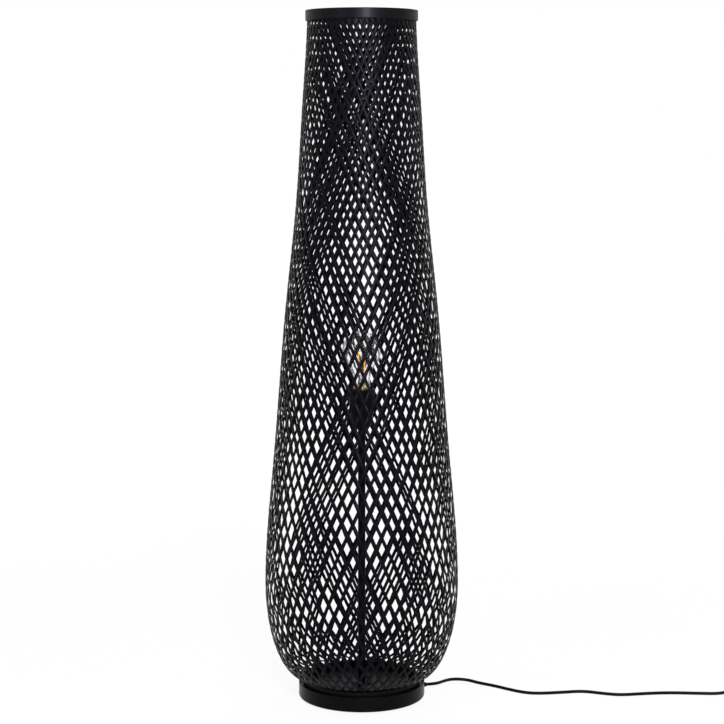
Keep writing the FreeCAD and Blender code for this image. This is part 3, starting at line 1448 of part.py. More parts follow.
def make_plug(cord_x, cord_y):
    """Flat plug with two round pins, lying on the floor with its pins towards -X."""
    place = {"x": str(cord_x), "y": str(cord_y), "z": "plug_middle"}
    body = doc.addObject("PartDesign::Body", "plug_body")
    tail = "-plug_tail_length"
    front = "-plug_tail_length - plug_length"
    outline = outline_sketch(
        body,
        "plug_outline",
        "XY_Plane",
        [
            (front, "-plug_width / 2"),
            (front + " + plug_front", "-plug_width / 2"),
            (front + " + plug_waist_start", "-plug_width * plug_waist_share"),
            (tail, "-plug_width * plug_rear_share"),
            (tail, "plug_width * plug_rear_share"),
            (front + " + plug_waist_start", "plug_width * plug_waist_share"),
            (front + " + plug_front", "plug_width / 2"),
            (front, "plug_width / 2"),
        ],
    )
    pad = body.newObject("PartDesign::Pad", "plug_pad")
    pad.Profile = outline
    pad.Midplane = True
    pad.Length = size("plug_thickness")
    pad.setExpression("Length", linked("plug_thickness"))
    body.Tip = pad
    round_edges(body, "plug_corners", "3.5", is_upright)
    round_edges(body, "plug_rims", "2.6", is_level_rim)
    sockets = circle_sketch(
        body,
        "pin_circles",
        "YZ_Plane",
        [("pin_spacing / 2", "0", "pin_radius + fit_gap"), ("-pin_spacing / 2", "0", "pin_radius + fit_gap")],
    )
    lift(sockets, front + " - 1")
    pocket(body, "pin_sockets", sockets, "pin_root + 1 + fit_gap", True)
    entry_circle = [("0", "0", "cord_radius + boot_core + fit_gap")]
    entry = circle_sketch(body, "entry_circle", "YZ_Plane", entry_circle)
    lift(entry, tail + " - boot_depth - fit_gap")
    pocket(body, "cord_entry", entry, "boot_depth + 1 + fit_gap", True)
    move(body, **place)
    keep(body, "plug_body")

    boot = turned(
        "plug_boot",
        [
            ("cord_radius + fit_gap", "0"),
            ("cord_radius + boot_mouth", "0"),
            ("plug_thickness * 0.42", "plug_tail_length"),
            ("cord_radius + boot_core", "plug_tail_length"),
            ("cord_radius + boot_core", "plug_tail_length + boot_depth"),
            ("cord_radius + fit_gap", "plug_tail_length + boot_depth"),
        ],
    )
    end = turned("plug_cord_end", ring_outline("0", "cord_radius", "0", "plug_tail_length + boot_depth"))
    for piece in (boot, end):
        piece.Placement = Placement(Vector(0, 0, 0), Rotation(AXIS_Z, Vector(-1, 0, 0)))
        move(piece, **place)
    way = Vector(-1, 0, 0)
    radius = size("pin_radius")
    root = size("pin_root")
    sleeve_end = root + size("sleeve_length")
    wall = size("sleeve_wall")
    tip_length = size("pin_length - sleeve_length")
    pins = []
    sleeves = []
    for side in (-1, 1):
        start = Vector(size(front) + root, side * size("pin_spacing") / 2, 0)
        end_x = start.x - sleeve_end - tip_length
        neck = Part.makeCylinder(radius - wall, sleeve_end, start, way)
        tip = Part.makeCylinder(radius, tip_length, start + way * sleeve_end, way)
        rim = [edge for edge in tip.Edges if edge.BoundBox.XMax < end_x + 1e-3]
        pins.append(neck.fuse(tip.makeFillet(radius * 0.7, rim)))
        outer = Part.makeCylinder(radius, sleeve_end, start, way)
        inner = Part.makeCylinder(radius - wall, sleeve_end, start, way)
        sleeves.append(outer.cut(inner))
    shift = Vector(cord_x, cord_y, size("plug_middle"))
    place_copies("plug_pins", pins, shift)
    place_copies("plug_pin_sleeves", sleeves, shift)
    doc.recompute()


def is_level_rim(edge):
    box = edge.BoundBox
    return abs(box.ZMax - box.ZMin) < 1e-6 and abs(abs(box.ZMax) - size("plug_thickness / 2")) < 1e-6


make_base()
make_outlet()
make_pole()
make_lampholder()
make_bulb()
make_hoops()
make_weave()
cord_end_x, cord_end_y = make_cord()
make_switch()
make_plug(cord_end_x, cord_end_y)

doc.recompute()
for item in doc.Objects:
    if "Invalid" in item.State or "Error" in item.State:
        raise RuntimeError(f"{item.Label} failed: {item.State}")
os.makedirs("parts", exist_ok=True)
for node in nodes:
    if node.Shape.isNull() or not node.Shape.isValid():
        raise RuntimeError(node.Label + " has no valid shape")
    node.Shape.exportStep(f"parts/{node.Label}.step")
    print(node.Label, len(node.Shape.Solids), round(node.Shape.Volume, 1))
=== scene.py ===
import json
import math

import bmesh
import bpy
import numpy as np
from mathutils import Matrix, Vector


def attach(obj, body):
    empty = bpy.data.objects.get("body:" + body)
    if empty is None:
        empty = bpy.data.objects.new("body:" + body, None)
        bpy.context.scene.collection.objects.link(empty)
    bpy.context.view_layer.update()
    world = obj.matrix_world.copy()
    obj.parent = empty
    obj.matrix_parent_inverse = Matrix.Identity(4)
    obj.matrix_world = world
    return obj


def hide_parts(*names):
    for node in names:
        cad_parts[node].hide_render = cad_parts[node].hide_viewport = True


# A lantern floor lamp: woven black bamboo shade over a round steel base, with a pole, a screw
# lampholder, a clear bulb and a mains cord. Metres, +Z up, the cord leaves towards +X.

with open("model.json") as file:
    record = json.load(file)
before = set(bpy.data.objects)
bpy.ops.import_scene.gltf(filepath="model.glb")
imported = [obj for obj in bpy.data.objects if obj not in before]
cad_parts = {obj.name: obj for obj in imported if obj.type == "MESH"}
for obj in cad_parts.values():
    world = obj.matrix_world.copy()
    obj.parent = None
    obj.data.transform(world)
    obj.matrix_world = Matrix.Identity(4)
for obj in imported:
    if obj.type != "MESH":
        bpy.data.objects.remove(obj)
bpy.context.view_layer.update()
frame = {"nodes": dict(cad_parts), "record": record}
nodes = frame["nodes"]
rng = np.random.default_rng(11)


# --- Camera ---

# The photograph's eye, found from the base's and the top hoop's ellipses.
EYE = (0.0005, -3.041, 0.930)
EYE_TILT = 0.125
FOCAL_PIXELS = 1923.0
FRAME_PIXELS = 724.0

camera_data = bpy.data.cameras.new("eye")
camera_data.sensor_fit = "HORIZONTAL"
camera_data.sensor_width = 36.0
camera_data.lens = camera_data.sensor_width * FOCAL_PIXELS / FRAME_PIXELS
camera_data.clip_end = 60.0
camera = bpy.data.objects.new("eye", camera_data)
camera.location = EYE
camera.rotation_euler = (math.pi / 2 - EYE_TILT, 0.0, 0.0)
bpy.context.collection.objects.link(camera)
bpy.context.scene.camera = camera


# --- Materials: the maths of a finish ---


class Value:
    """A number that varies over a surface. + - * and abs() of it add Math nodes."""

    def __init__(self, finish, socket):
        self.finish = finish
        self.socket = socket

    def maths(self, operation, *numbers):
        sockets = dict(enumerate(numbers))
        return self.finish.node("ShaderNodeMath", {"operation": operation}, sockets)

    def __add__(self, other):
        return self.maths("ADD", self, other)

    __radd__ = __add__

    def __mul__(self, other):
        return self.maths("MULTIPLY", self, other)

    __rmul__ = __mul__

    def __sub__(self, other):
        return self.maths("SUBTRACT", self, other)

    def __rsub__(self, other):
        return self.maths("SUBTRACT", other, self)

    def __abs__(self):
        return self.maths("ABSOLUTE", self)

    def larger(self, other):
        return self.maths("MAXIMUM", self, other)

    def wave(self):
        return self.maths("SINE", self)

    def over(self, low, high):
        """0 below low, 1 above high, and a smooth rise between."""
        sockets = {0: self, 1: low, 2: high}
        return self.finish.node("ShaderNodeMapRange", {"interpolation_type": "SMOOTHSTEP"}, sockets)


class Finish:
    """The nodes of one material, or of a world. node() adds one and gives its wanted output."""

    def __init__(self, name, kept_in=bpy.data.materials, last_node="ShaderNodeOutputMaterial"):
        self.owner = kept_in.new(name)
        self.owner.use_nodes = True
        self.last_node = last_node
        self.tree = self.owner.node_tree
        self.tree.nodes.clear()

    def node(self, kind, settings=None, sockets=None, output=0):
        made = self.tree.nodes.new(kind)
        for key, amount in (settings or {}).items():
            setattr(made, key, amount)
        for key, amount in (sockets or {}).items():
            self.feed(self.find(made.inputs, key), amount)
        return Value(self, self.find(made.outputs, output))

    def find(self, sockets, key):
        if isinstance(key, int):
            return sockets[key]
        return next(one for one in sockets if key in (one.identifier, one.name))

    def feed(self, socket, amount):
        """Link a value to a socket, or set a plain number, vector or colour of three parts."""
        if isinstance(amount, Value):
            self.tree.links.new(amount.socket, socket)
        elif socket.type == "RGBA":
            socket.default_value = (*amount, 1.0)
        else:
            socket.default_value = amount

    def place(self, scale=(1.0, 1.0, 1.0)):
        """Object coordinates, scaled along each axis."""
        where = self.node("ShaderNodeTexCoord", output="Object")
        return self.node("ShaderNodeMapping", sockets={"Vector": where, "Scale": scale})

    def grain(self):
        """A piece's own places: how far along it, how far across it, and its strip's number."""
        places = self.node("ShaderNodeAttribute", {"attribute_name": "grain"}, output="Vector")
        parts = self.node("ShaderNodeSeparateXYZ", sockets={0: places})
        return [Value(self, output) for output in parts.socket.node.outputs]

    def seen(self):
        """1 on a ray of the camera, a mirror or glass, and 0 on any other."""
        kinds = ("Is Camera Ray", "Is Glossy Ray", "Is Transmission Ray")
        straight, mirrored, through = (
            self.node("ShaderNodeLightPath", output=kind) for kind in kinds
        )
        return straight.larger(mirrored).larger(through)

    def noise(self, where, scale, detail=3.0, roughness=0.55):
        sockets = {"Vector": where, "Scale": scale, "Detail": detail, "Roughness": roughness}
        return self.node("ShaderNodeTexNoise", sockets=sockets)

    def blend(self, share, low, high):
        """The colour low where share is 0 and high where it is 1."""
        sockets = {"Factor_Float": share, "A_Color": low, "B_Color": high}
        return self.node("ShaderNodeMix", {"data_type": "RGBA"}, sockets, "Result_Color")

    def bump(self, height, depth, strength=1.0):
        sockets = {"Height": height, "Distance": depth, "Strength": strength}
        return self.node("ShaderNodeBump", sockets=sockets)

    def surface(self, sockets):
        """End with one plain surface of the given sockets."""
        return self.end(self.node("ShaderNodeBsdfPrincipled", sockets=sockets))

    def end(self, shader):
        """Put the shader on the last node, and give the finished material or world."""
        last = self.tree.nodes.new(self.last_node)
        self.feed(last.inputs["Surface"], shader)
        return self.owner


# --- Materials: the lamp's finishes ---


def strip_finish():
    """Split bamboo dyed black: fibres run along the strip, each strip a little different."""
    finish = Finish("black_bamboo_strip")
    along, across, strip = finish.grain()

    def streaks(by_length, by_width, detail, roughness):
        sockets = {0: along * by_length, 1: across * by_width, 2: strip}
        place = finish.node("ShaderNodeCombineXYZ", sockets=sockets)
        return finish.noise(place, 1.0, detail, roughness)

    fibre = streaks(28.0, 2600.0, 4.0, 0.6)
    cloud = streaks(16.0, 120.0, 2.0, 0.5)
    edge = abs(across).over(0.0017, 0.00245)
    colour = finish.blend(cloud.over(0.3, 0.75), (0.0006, 0.0006, 0.0008), (0.0028, 0.0025, 0.0040))
    colour = finish.blend(fibre.over(0.52, 0.8) * 0.45, colour, (0.0070, 0.0060, 0.0095))
    colour = finish.blend(edge * 0.5, colour, (0.0004, 0.0004, 0.0005))
    height = fibre * 0.7 + cloud * 0.5 - edge * 0.4
    sockets = {
        "Base Color": colour,
        "Roughness": 0.20 + fibre * 0.16 + cloud * 0.14,
        "Specular IOR Level": 0.07,
        "Specular Tint": (0.78, 0.74, 1.0),
        "Normal": finish.bump(height, 0.00012, 0.7),
    }
    return finish.surface(sockets)


def hoop_finish():
    """Smooth bamboo band, lacquered black: fine lines round the hoop under a clear coat."""
    finish = Finish("black_lacquered_hoop")
    lines = finish.noise(finish.place((14.0, 14.0, 1500.0)), 1.0, 4.0, 0.6)
    cloud = finish.noise(finish.place(), 22.0)
    low, high = (0.0010, 0.0010, 0.0013), (0.0034, 0.0034, 0.0052)
    sockets = {
        "Base Color": finish.blend(lines.over(0.45, 0.8), low, high),
        "Roughness": 0.34 + cloud * 0.16,
        "Specular IOR Level": 0.10,
        "Specular Tint": (0.8, 0.85, 1.0),
        "Coat Weight": 0.03,
        "Coat Roughness": 0.2,
        "Normal": finish.bump(lines * 0.6 + cloud * 0.4, 0.00010, 0.6),
    }
    return finish.surface(sockets)


def powder_finish(name, colour, roughness, grit=1900.0, depth=0.00003, sheen=0.2):
    """Powder coat or moulded plastic: an even colour with a fine pebbled skin."""
    finish = Finish(name)
    pebble = finish.noise(finish.place(), grit, 2.0, 0.5)
    cloud = finish.noise(finish.place(), 35.0)
    lighter = tuple(1.4 * part + 0.0003 for part in colour)
    sockets = {
        "Base Color": finish.blend(cloud.over(0.35, 0.8), colour, lighter),
        "Roughness": roughness - 0.06 + cloud * 0.12,
        "Specular IOR Level": sheen,
        "Normal": finish.bump(pebble, depth, 0.6),
    }
    return finish.surface(sockets)


def metal_finish(name, colour, roughness):
    """Bare or plated metal, with fine brushed lines and a little tarnish."""
    finish = Finish(name)
    lines = finish.noise(finish.place((300.0, 300.0, 3000.0)), 1.0)
    stain = finish.noise(finish.place(), 160.0, 4.0)
    darker = tuple(0.62 * part for part in colour)
    sockets = {
        "Base Color": finish.blend(stain.over(0.5, 0.85), colour, darker),
        "Metallic": 1.0,
        "Roughness": roughness + lines * 0.12 + stain * 0.08,
        "Normal": finish.bump(lines, 0.00002, 0.5),
    }
    return finish.surface(sockets)


def casting_finish():
    """Rough grey iron casting."""
    finish = Finish("grey_casting")
    lumps = finish.noise(finish.place(), 420.0, 5.0, 0.65)
    low, high = (0.045, 0.045, 0.048), (0.13, 0.13, 0.135)
    sockets = {
        "Base Color": finish.blend(lumps.over(0.35, 0.7), low, high),
        "Metallic": 0.5,
        "Roughness": 0.62 + lumps * 0.2,
        "Normal": finish.bump(lumps, 0.0004, 0.8),
    }
    return finish.surface(sockets)


def glass_finish():
    """Clear blown glass with faint ripples."""
    finish = Finish("clear_bulb_glass")
    ripple = finish.noise(finish.place(), 30.0, 2.0)
    sockets = {
        "Base Color": (1.0, 1.0, 1.0),
        "Roughness": ripple * 0.01,
        "IOR": 1.46,
        "Transmission Weight": 1.0,
        "Normal": finish.bump(ripple, 0.0001, 0.08),
    }
    return finish.surface(sockets)


def phosphor_painted_glow_finish():
    """Yellow-orange coat of an unlit filament rod, with the row of chips showing through, and a
    painted glow that keeps it bright though the bulb is off.
    """
    finish = Finish("amber_phosphor")
    chips = finish.noise(finish.place((500.0, 500.0, 1500.0)), 1.0, 2.0)
    colour = finish.blend(chips.over(0.4, 0.7), (0.98, 0.36, 0.008), (1.0, 0.56, 0.03))
    sockets = {
        "Base Color": colour,
        "Roughness": 0.4 + chips * 0.15,
        # Painted glow: the rod is not lit, yet it gives off light in its own colour.
        "Emission Color": colour,
        "Emission Strength": 0.9,
        "Normal": finish.bump(chips, 0.0001, 0.5),
    }
    return finish.surface(sockets)


def ceramic_finish(name, colour, gloss):
    """Glazed ceramic or vitrite with faint specks."""
    finish = Finish(name)
    specks = finish.noise(finish.place(), 900.0, 2.0)
    darker = tuple(0.8 * part for part in colour)
    sockets = {
        "Base Color": finish.blend(specks.over(0.6, 0.75), colour, darker),
        "Roughness": gloss + specks * 0.1,
        "Normal": finish.bump(specks, 0.00004, 0.4),
    }
    return finish.surface(sockets)


def board_finish():
    """Green circuit board with lighter tracks."""
    finish = Finish("circuit_board")
    sockets = {"Vector": finish.place(), "Scale": 300.0}
    tracks = finish.node("ShaderNodeTexBrick", sockets=sockets, output="Fac")
    sockets = {
        "Base Color": finish.blend(tracks, (0.015, 0.12, 0.05), (0.05, 0.26, 0.10)),
        "Roughness": 0.35 + tracks * 0.1,
    }
    return finish.surface(sockets)


def tie_finish():
    """Woven black strap with a fine basket texture along and across it."""
    finish = Finish("woven_tie")
    along, across, _ = finish.grain()
    ribs = (along * 6300.0).wave() * (across * 6300.0).wave()
    loops = finish.noise(finish.place(), 2400.0, 2.0)
    sockets = {
        "Base Color": finish.blend(loops, (0.004, 0.004, 0.005), (0.014, 0.014, 0.016)),
        "Roughness": 0.8 + loops * 0.1,
        "Normal": finish.bump(ribs * 0.5 + loops, 0.0002, 0.8),
    }
    return finish.surface(sockets)


FINISHES = {
    "rubber": powder_finish("black_rubber", (0.016, 0.016, 0.017), 0.75, 1200.0, 0.00008),
    "black_steel": powder_finish(
        "black_powder_coat", (0.0010, 0.0011, 0.0013), 0.30, grit=1700.0, sheen=0.06
    ),
    "cast_iron": casting_finish(),
    "zinc_steel": metal_finish("zinc_plate", (0.62, 0.62, 0.63), 0.28),
    "black_moulding": powder_finish(
        "black_moulding", (0.0018, 0.0016, 0.0015), 0.42, grit=2600.0, sheen=0.08
    ),
    "black_gloss": powder_finish("black_gloss", (0.0060, 0.0060, 0.0066), 0.22, 900.0, 0.00001),
    "cord_sheath": powder_finish(
        "cord_sheath", (0.0016, 0.0016, 0.0018), 0.46, grit=1500.0, depth=0.00002, sheen=0.07
    ),
    "core_brown": powder_finish("core_brown", (0.20, 0.09, 0.045), 0.4),
    "core_blue": powder_finish("core_blue", (0.035, 0.13, 0.42), 0.4),
    "white_ceramic": ceramic_finish("cream_porcelain", (0.80, 0.77, 0.70), 0.18),
    "brass": metal_finish("stamped_brass", (0.80, 0.58, 0.26), 0.24),
    "nickel": metal_finish("nickel_plate", (0.72, 0.70, 0.67), 0.16),
    "clear_glass": glass_finish(),
    "dark_glass": ceramic_finish("black_vitrite", (0.02, 0.02, 0.026), 0.12),
    "amber_phosphor": phosphor_painted_glow_finish(),
    "circuit_board": board_finish(),
    "black_bamboo_hoop": hoop_finish(),
    "black_bamboo": strip_finish(),
    "tie_fabric": tie_finish(),
}

for entry in frame["record"]["subparts"]:
    mesh = nodes[entry["node"]].data
    mesh.materials.clear()
    mesh.materials.append(FINISHES[entry["material_slot"]])


# --- Cord ---

CORD_RADIUS = 0.0026
OUTLET_BEARING = math.radians(15)
OUTLET_HEIGHT = 0.0105


def on_bearing(reach):
    """Point at the outlet's bearing and height, at a reach from the pole's axis."""
    return (reach * math.cos(OUTLET_BEARING), reach * math.sin(OUTLET_BEARING), OUTLET_HEIGHT)


OUTLET = on_bearing(0.1096)
PAST_OUTLET = on_bearing(0.1201)
SWITCH_IN = (0.614, 0.0, 0.0086)
SWITCH_OUT = (0.678, 0.0, 0.0086)
RUN_POINTS = [
    (0.1255, 0.0385, 0.0097),
    (0.1339, 0.0509, 0.0088),
    (0.1462, 0.0667, 0.0076),
    (0.1616, 0.0739, 0.0061),
    (0.1785, 0.0721, 0.0047),
    (0.1921, 0.0619, 0.0035),
    (0.219, 0.0465, 0.0027),
    (0.241, 0.027, 0.0027),
    (0.261, 0.011, 0.0027),
    (0.284, 0.003, 0.0027),
    (0.325, 0.009, 0.0027),
    (0.362, 0.017, 0.0027),
    (0.394, 0.003, 0.0027),
    (0.421, -0.005, 0.0027),
    (0.456, 0.002, 0.0027),
    (0.5, 0.008, 0.0027),
    (0.548, 0.004, 0.0027),
    (0.584, -0.002, 0.0039),
    (0.602, 0.0, 0.0086),
]
LINK_POINTS = [
    (0.69, 0.0, 0.0086),
    (0.706, -0.0005, 0.0047),
    (0.728, 0.0006, 0.00385),
    (0.7578, 0.0, 0.00385),
]
TAIL_POINTS = [(0.7578, 0.075, 0.01105), (0.7398, 0.075, 0.00695), (0.7278, 0.075, 0.00695)]
COIL_CENTRE = (0.775, 0.0375)
COIL_OUTER = 0.0375
COIL_PITCH = 0.0066
COIL_LEVELS = (0.00385, 0.01105)
LAYER_TURNS = 2.5
CLIMB_TURNS = 0.5
TURN_POINTS = 16


def coil_points():
    """Turns that close in on the floor, climb a layer in the reversing half turn, and open again.

    The distance from the centre falls by one pitch a turn, stays for the climbing half turn, and
    rises again. The points stand out a little, because the spline cuts inside them.
    """
    last = 2 * LAYER_TURNS + CLIMB_TURNS
    turns = np.arange(0, last + 1e-9, 1 / TURN_POINTS)
    inward = np.minimum(turns, LAYER_TURNS)
    outward = np.maximum(turns - LAYER_TURNS - CLIMB_TURNS, 0)
    radius = COIL_OUTER - COIL_PITCH * (inward - outward)
    radius = radius / (0.75 + 0.25 * math.cos(2 * math.pi / TURN_POINTS))
    climb = np.clip((turns - LAYER_TURNS) / CLIMB_TURNS, 0, 1)
    height = COIL_LEVELS[0] + (COIL_LEVELS[1] - COIL_LEVELS[0]) * climb
    angle = 2 * np.pi * turns - np.pi / 2
    across = COIL_CENTRE[0] + radius * np.cos(angle)
    deep = COIL_CENTRE[1] + radius * np.sin(angle)
    return list(zip(across.tolist(), deep.tolist(), height.tolist()))


def cord_curve(name, points):
    """Round tube along one open spline through the route's points."""
    curve = bpy.data.curves.new(name, "CURVE")
    curve.dimensions = "3D"
    curve.bevel_depth = CORD_RADIUS
    curve.bevel_resolution = 5
    curve.use_fill_caps = True
    curve.resolution_u = 10
    spline = curve.splines.new("NURBS")
    spline.points.add(len(points) - 1)
    spline.points.foreach_set("co", np.column_stack([points, np.ones(len(points))]).ravel())
    spline.order_u = 3
    spline.use_endpoint_u = True
    curve.materials.append(FINISHES["cord_sheath"])
    piece = bpy.data.objects.new(name, curve)
    bpy.context.collection.objects.link(piece)
    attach(piece, "base")
    return piece


run = cord_curve("lamp_cord", [OUTLET, PAST_OUTLET] + RUN_POINTS + [SWITCH_IN])
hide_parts("cord_run")
stored = cord_curve("stored_cord", [SWITCH_OUT] + LINK_POINTS + coil_points() + TAIL_POINTS)
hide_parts("cord_link", "cord_coil", "cord_tail")


# --- Meshes from grids ---


def mesh_object(name, points, faces):
    """Object at the origin, made of arrays of points and faces."""
    mesh = bpy.data.meshes.new(name)
    mesh.from_pydata(points.reshape(-1, 3).tolist(), [], faces.tolist())
    mesh.update()
    made = bpy.data.objects.new(name, mesh)
    bpy.context.collection.objects.link(made)
    return made


def mesh_piece(name, body, slot, points, faces):
    """Smooth piece of the lamp, riding on a body, with its slot's finish."""
    piece = mesh_object(name, points, faces)
    piece.data.shade_smooth()
    piece.data.materials.append(FINISHES[slot])
    piece.data.validate()
    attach(piece, body)
    return piece


def tube_faces(rows, columns, copies=1, closed=False):
    """Quads of tubes, each a grid whose columns close round it. A closed one's rows do too."""
    steps = rows if closed else rows - 1
    row, column = np.meshgrid(np.arange(steps), np.arange(columns), indexing="ij")
    following = (row + 1) % rows
    beside = (column + 1) % columns
    corners = [
        row * columns + column,
        row * columns + beside,
        following * columns + beside,
        following * columns + column,
    ]
    quads = np.stack(corners, axis=-1).reshape(-1, 4)
    starts = np.arange(copies)[:, None, None] * rows * columns
    return (quads[None] + starts).reshape(-1, 4)


def close_ends(mesh):
    """Fill the open ends of tubes."""
    work = bmesh.new()
    work.from_mesh(mesh)
    rims = [edge for edge in work.edges if edge.is_boundary]
    bmesh.ops.holes_fill(work, edges=rims, sides=0)
    bmesh.ops.recalc_face_normals(work, faces=work.faces)
    work.to_mesh(mesh)
    work.free()


def set_grain(mesh, along, across, strip):
    """Store each point's place along and across its strip, and its strip's number."""
    grain = np.stack(np.broadcast_arrays(along, across, strip), -1)
    layer = mesh.attributes.new("grain", "FLOAT_VECTOR", "POINT")
    layer.data.foreach_set("vector", grain.astype(float).ravel())


# --- Woven shade: its line ---

COVER_TOP = 0.0222
TOTAL_HEIGHT = 1.1
STRIPS = 52
STRIP_SPACING = 2 * np.pi / STRIPS
STRIP_WIDTH = 0.0049
# How far the line's ends stay off the cover and the top edge, for the corners of its strips.
STRIP_CORNER = 0.0004 + STRIP_WIDTH * 0.26
HOOP_WALL = 0.0023
HOOP_SPACE = 0.00234
TOP_HOOP_RADIUS = 0.088
TOP_HOOP_BOTTOM = 1.084
TOP_HOOP_MIDDLE = 1.092
TOP_LINE = TOP_HOOP_RADIUS - HOOP_WALL - HOOP_SPACE / 2
FOOT_HOOP_RADIUS = 0.0946
FOOT_HOOP_HEIGHT = 0.0114
FOOT_HOOP_MIDDLE = COVER_TOP + FOOT_HOOP_HEIGHT / 2
FOOT_HOOP_TOP = COVER_TOP + FOOT_HOOP_HEIGHT
FOOT_LINE = FOOT_HOOP_RADIUS - HOOP_WALL - HOOP_SPACE / 2
FOOT_BEND = 0.005
BEND_DROP = 0.0016
BEND_START = FOOT_HOOP_TOP - BEND_DROP
WEAVE_HALF = 0.00105
BULGE_RADIUS = 0.1558
BULGE_HEIGHT = 0.190
BULGE = BULGE_RADIUS - WEAVE_HALF
# The shares of the way up and of the way in, from the bulge to the top hoop.
NECK_SHARES = ((0, 1), (0.235, 0.79), (0.503, 0.504), (0.682, 0.264), (0.861, 0.109), (1, 0))
NECK_END_SLOPE = -0.03
# How finely the line's stretches are worked out, from the foot up.
FOOT_STEPS, BEND_STEPS, BULGE_STEPS, NECK_STEPS, TOP_STEPS = 12, 20, 300, 900, 16


def smooth_through(places, values, first_slope, last_slope, wanted):
    """Cubic curve through values at places: each stretch is a cubic, and slopes and bends agree.

    The slopes at the places solve the usual tridiagonal equations of a clamped cubic spline.
    """
    gaps = np.diff(places)
    rises = np.diff(values) / gaps
    count = len(places)
    system = np.eye(count)
    right = np.zeros(count)
    inner = np.arange(1, count - 1)
    system[inner, inner - 1] = gaps[1:]
    system[inner, inner] = 2 * (gaps[1:] + gaps[:-1])
    system[inner, inner + 1] = gaps[:-1]
    right[inner] = 3 * (gaps[1:] * rises[:-1] + gaps[:-1] * rises[1:])
    right[0], right[-1] = first_slope, last_slope
    slopes = np.linalg.solve(system, right)
    index = np.clip(np.searchsorted(places, wanted) - 1, 0, count - 2)
    gap = gaps[index]
    share = (wanted - places[index]) / gap
    low, high = values[index], values[index + 1]
    low_way, high_way = slopes[index] * gap, slopes[index + 1] * gap
    return (
        low * (1 + 2 * share) * (1 - share) ** 2
        + low_way * share * (1 - share) ** 2
        + high * share**2 * (3 - 2 * share)
        + high_way * share**2 * (share - 1)
    )


def travelled(across, up):
    """Distance along a line to each of its points: the sum of the straight steps before it."""
    return np.concatenate([[0], np.cumsum(np.hypot(np.diff(across), np.diff(up)))])


def shade_line():
    """Middle of the weave as radius and height, from foot to top.

    Upright in the bottom hoop, a quarter circle over its edge, a quarter ellipse out to the bulge,
    then a long curve that leans in to the top hoop, where it is upright again.
    """
    start = np.linspace(COVER_TOP + STRIP_CORNER, BEND_START, FOOT_STEPS, endpoint=False)
    bend = np.linspace(0, np.pi / 2, BEND_STEPS, endpoint=False)
    bulge = np.linspace(0, np.pi / 2, BULGE_STEPS, endpoint=False)
    inner = FOOT_LINE + FOOT_BEND
    rise = BULGE_HEIGHT - BEND_START - FOOT_BEND
    high, wide = np.array(NECK_SHARES).T
    knot_radius = TOP_LINE + (BULGE - TOP_LINE) * wide
    knot_height = BULGE_HEIGHT + (TOP_HOOP_BOTTOM - BULGE_HEIGHT) * high
    places = travelled(knot_radius, knot_height)
    wanted = np.linspace(0, places[-1], NECK_STEPS, endpoint=False)
    end = np.linspace(TOP_HOOP_BOTTOM, TOTAL_HEIGHT - STRIP_CORNER, TOP_STEPS)
    radius = [
        np.full(FOOT_STEPS, FOOT_LINE),
        FOOT_LINE + FOOT_BEND * (1 - np.cos(bend)),
        inner + (BULGE - inner) * np.sin(bulge),
        smooth_through(places, knot_radius, 0.0, NECK_END_SLOPE, wanted),
        np.full(TOP_STEPS, TOP_LINE),
    ]
    height = [
        start,
        BEND_START + FOOT_BEND * np.sin(bend),
        BULGE_HEIGHT - rise * np.cos(bulge),
        smooth_through(places, knot_height, 1.0, 1.0, wanted),
        end,
    ]
    return np.concatenate(radius), np.concatenate(height)


# --- Woven shade: its strips ---

TURN_STEPS = 35
LEAN_EXTRA = 0.32
LEAN_REACH = 0.060
# Bearing of the weave from +X: the gaps of its back stand behind the crossings of its front.
SHADE_TURN = math.radians(46.7)
STRIP_ROWS = 300
STRIP_THICKNESS = 0.0007
# Corners of a strip's section, as shares of half its width and of its thickness.
STRIP_SECTION = ((-1, -0.5), (-1, 0.15), (-0.82, 0.5), (0.82, 0.5), (1, 0.15), (1, -0.5))
WEAVE_SWING = 0.00046
SWING_EASE = 0.12
WANDER = 0.0012
WANDER_WAVES = 6
# A strip's width in shares of STRIP_WIDTH: its mean, its spread from strip to strip, and its wave
# along each strip, with the number of waves and the share of one by which the next strip is on.
MEAN_WIDTH = 1.035
WIDTH_SPREAD = 0.035
WIDTH_WAVE = 0.02
WIDTH_WAVES = 3
WIDTH_SHIFT = 0.37
# The finish sees each strip as this long, and the next one this much further on in its pattern.
GRAIN_LENGTH = 1.3
GRAIN_STEP = 7.31


def strip_course(count):
    """The weave's middle at count places evenly along a strip: radius, height, normal, turn, lean.

    The lean's tangent is a share times 1 + LEAN_EXTRA exp(-h / LEAN_REACH), h over the bottom
    hoop, and the turn adds up steps times that tangent over the radius. The share makes it
    TURN_STEPS strip spacings from hoop to hoop.
    """
    radius, height = shade_line()
    line = travelled(radius, height)
    slope = 1 + LEAN_EXTRA * np.exp(-np.maximum(height - FOOT_HOOP_TOP, 0) / LEAN_REACH)
    middle_slope = (slope[1:] + slope[:-1]) / 2
    steps = np.hypot(np.diff(radius), np.diff(height)) * middle_slope * 2
    turns = np.concatenate([[0], np.cumsum(steps / (radius[1:] + radius[:-1]))])
    low, high = np.interp([FOOT_HOOP_MIDDLE, TOP_HOOP_MIDDLE], height, turns)
    lean = TURN_STEPS * STRIP_SPACING / (high - low)
    wanted = np.linspace(0, line[-1], count)
    ways = np.gradient(radius, line), np.gradient(height, line)
    out_way, up_way = (np.interp(wanted, line, way) for way in ways)
    size = np.hypot(out_way, up_way)
    values = (radius, height, (turns - high) * lean, np.arctan(lean * slope))
    course = [np.interp(wanted, line, value) for value in values]
    return course[0], course[1], up_way / size, -out_way / size, course[2], course[3]


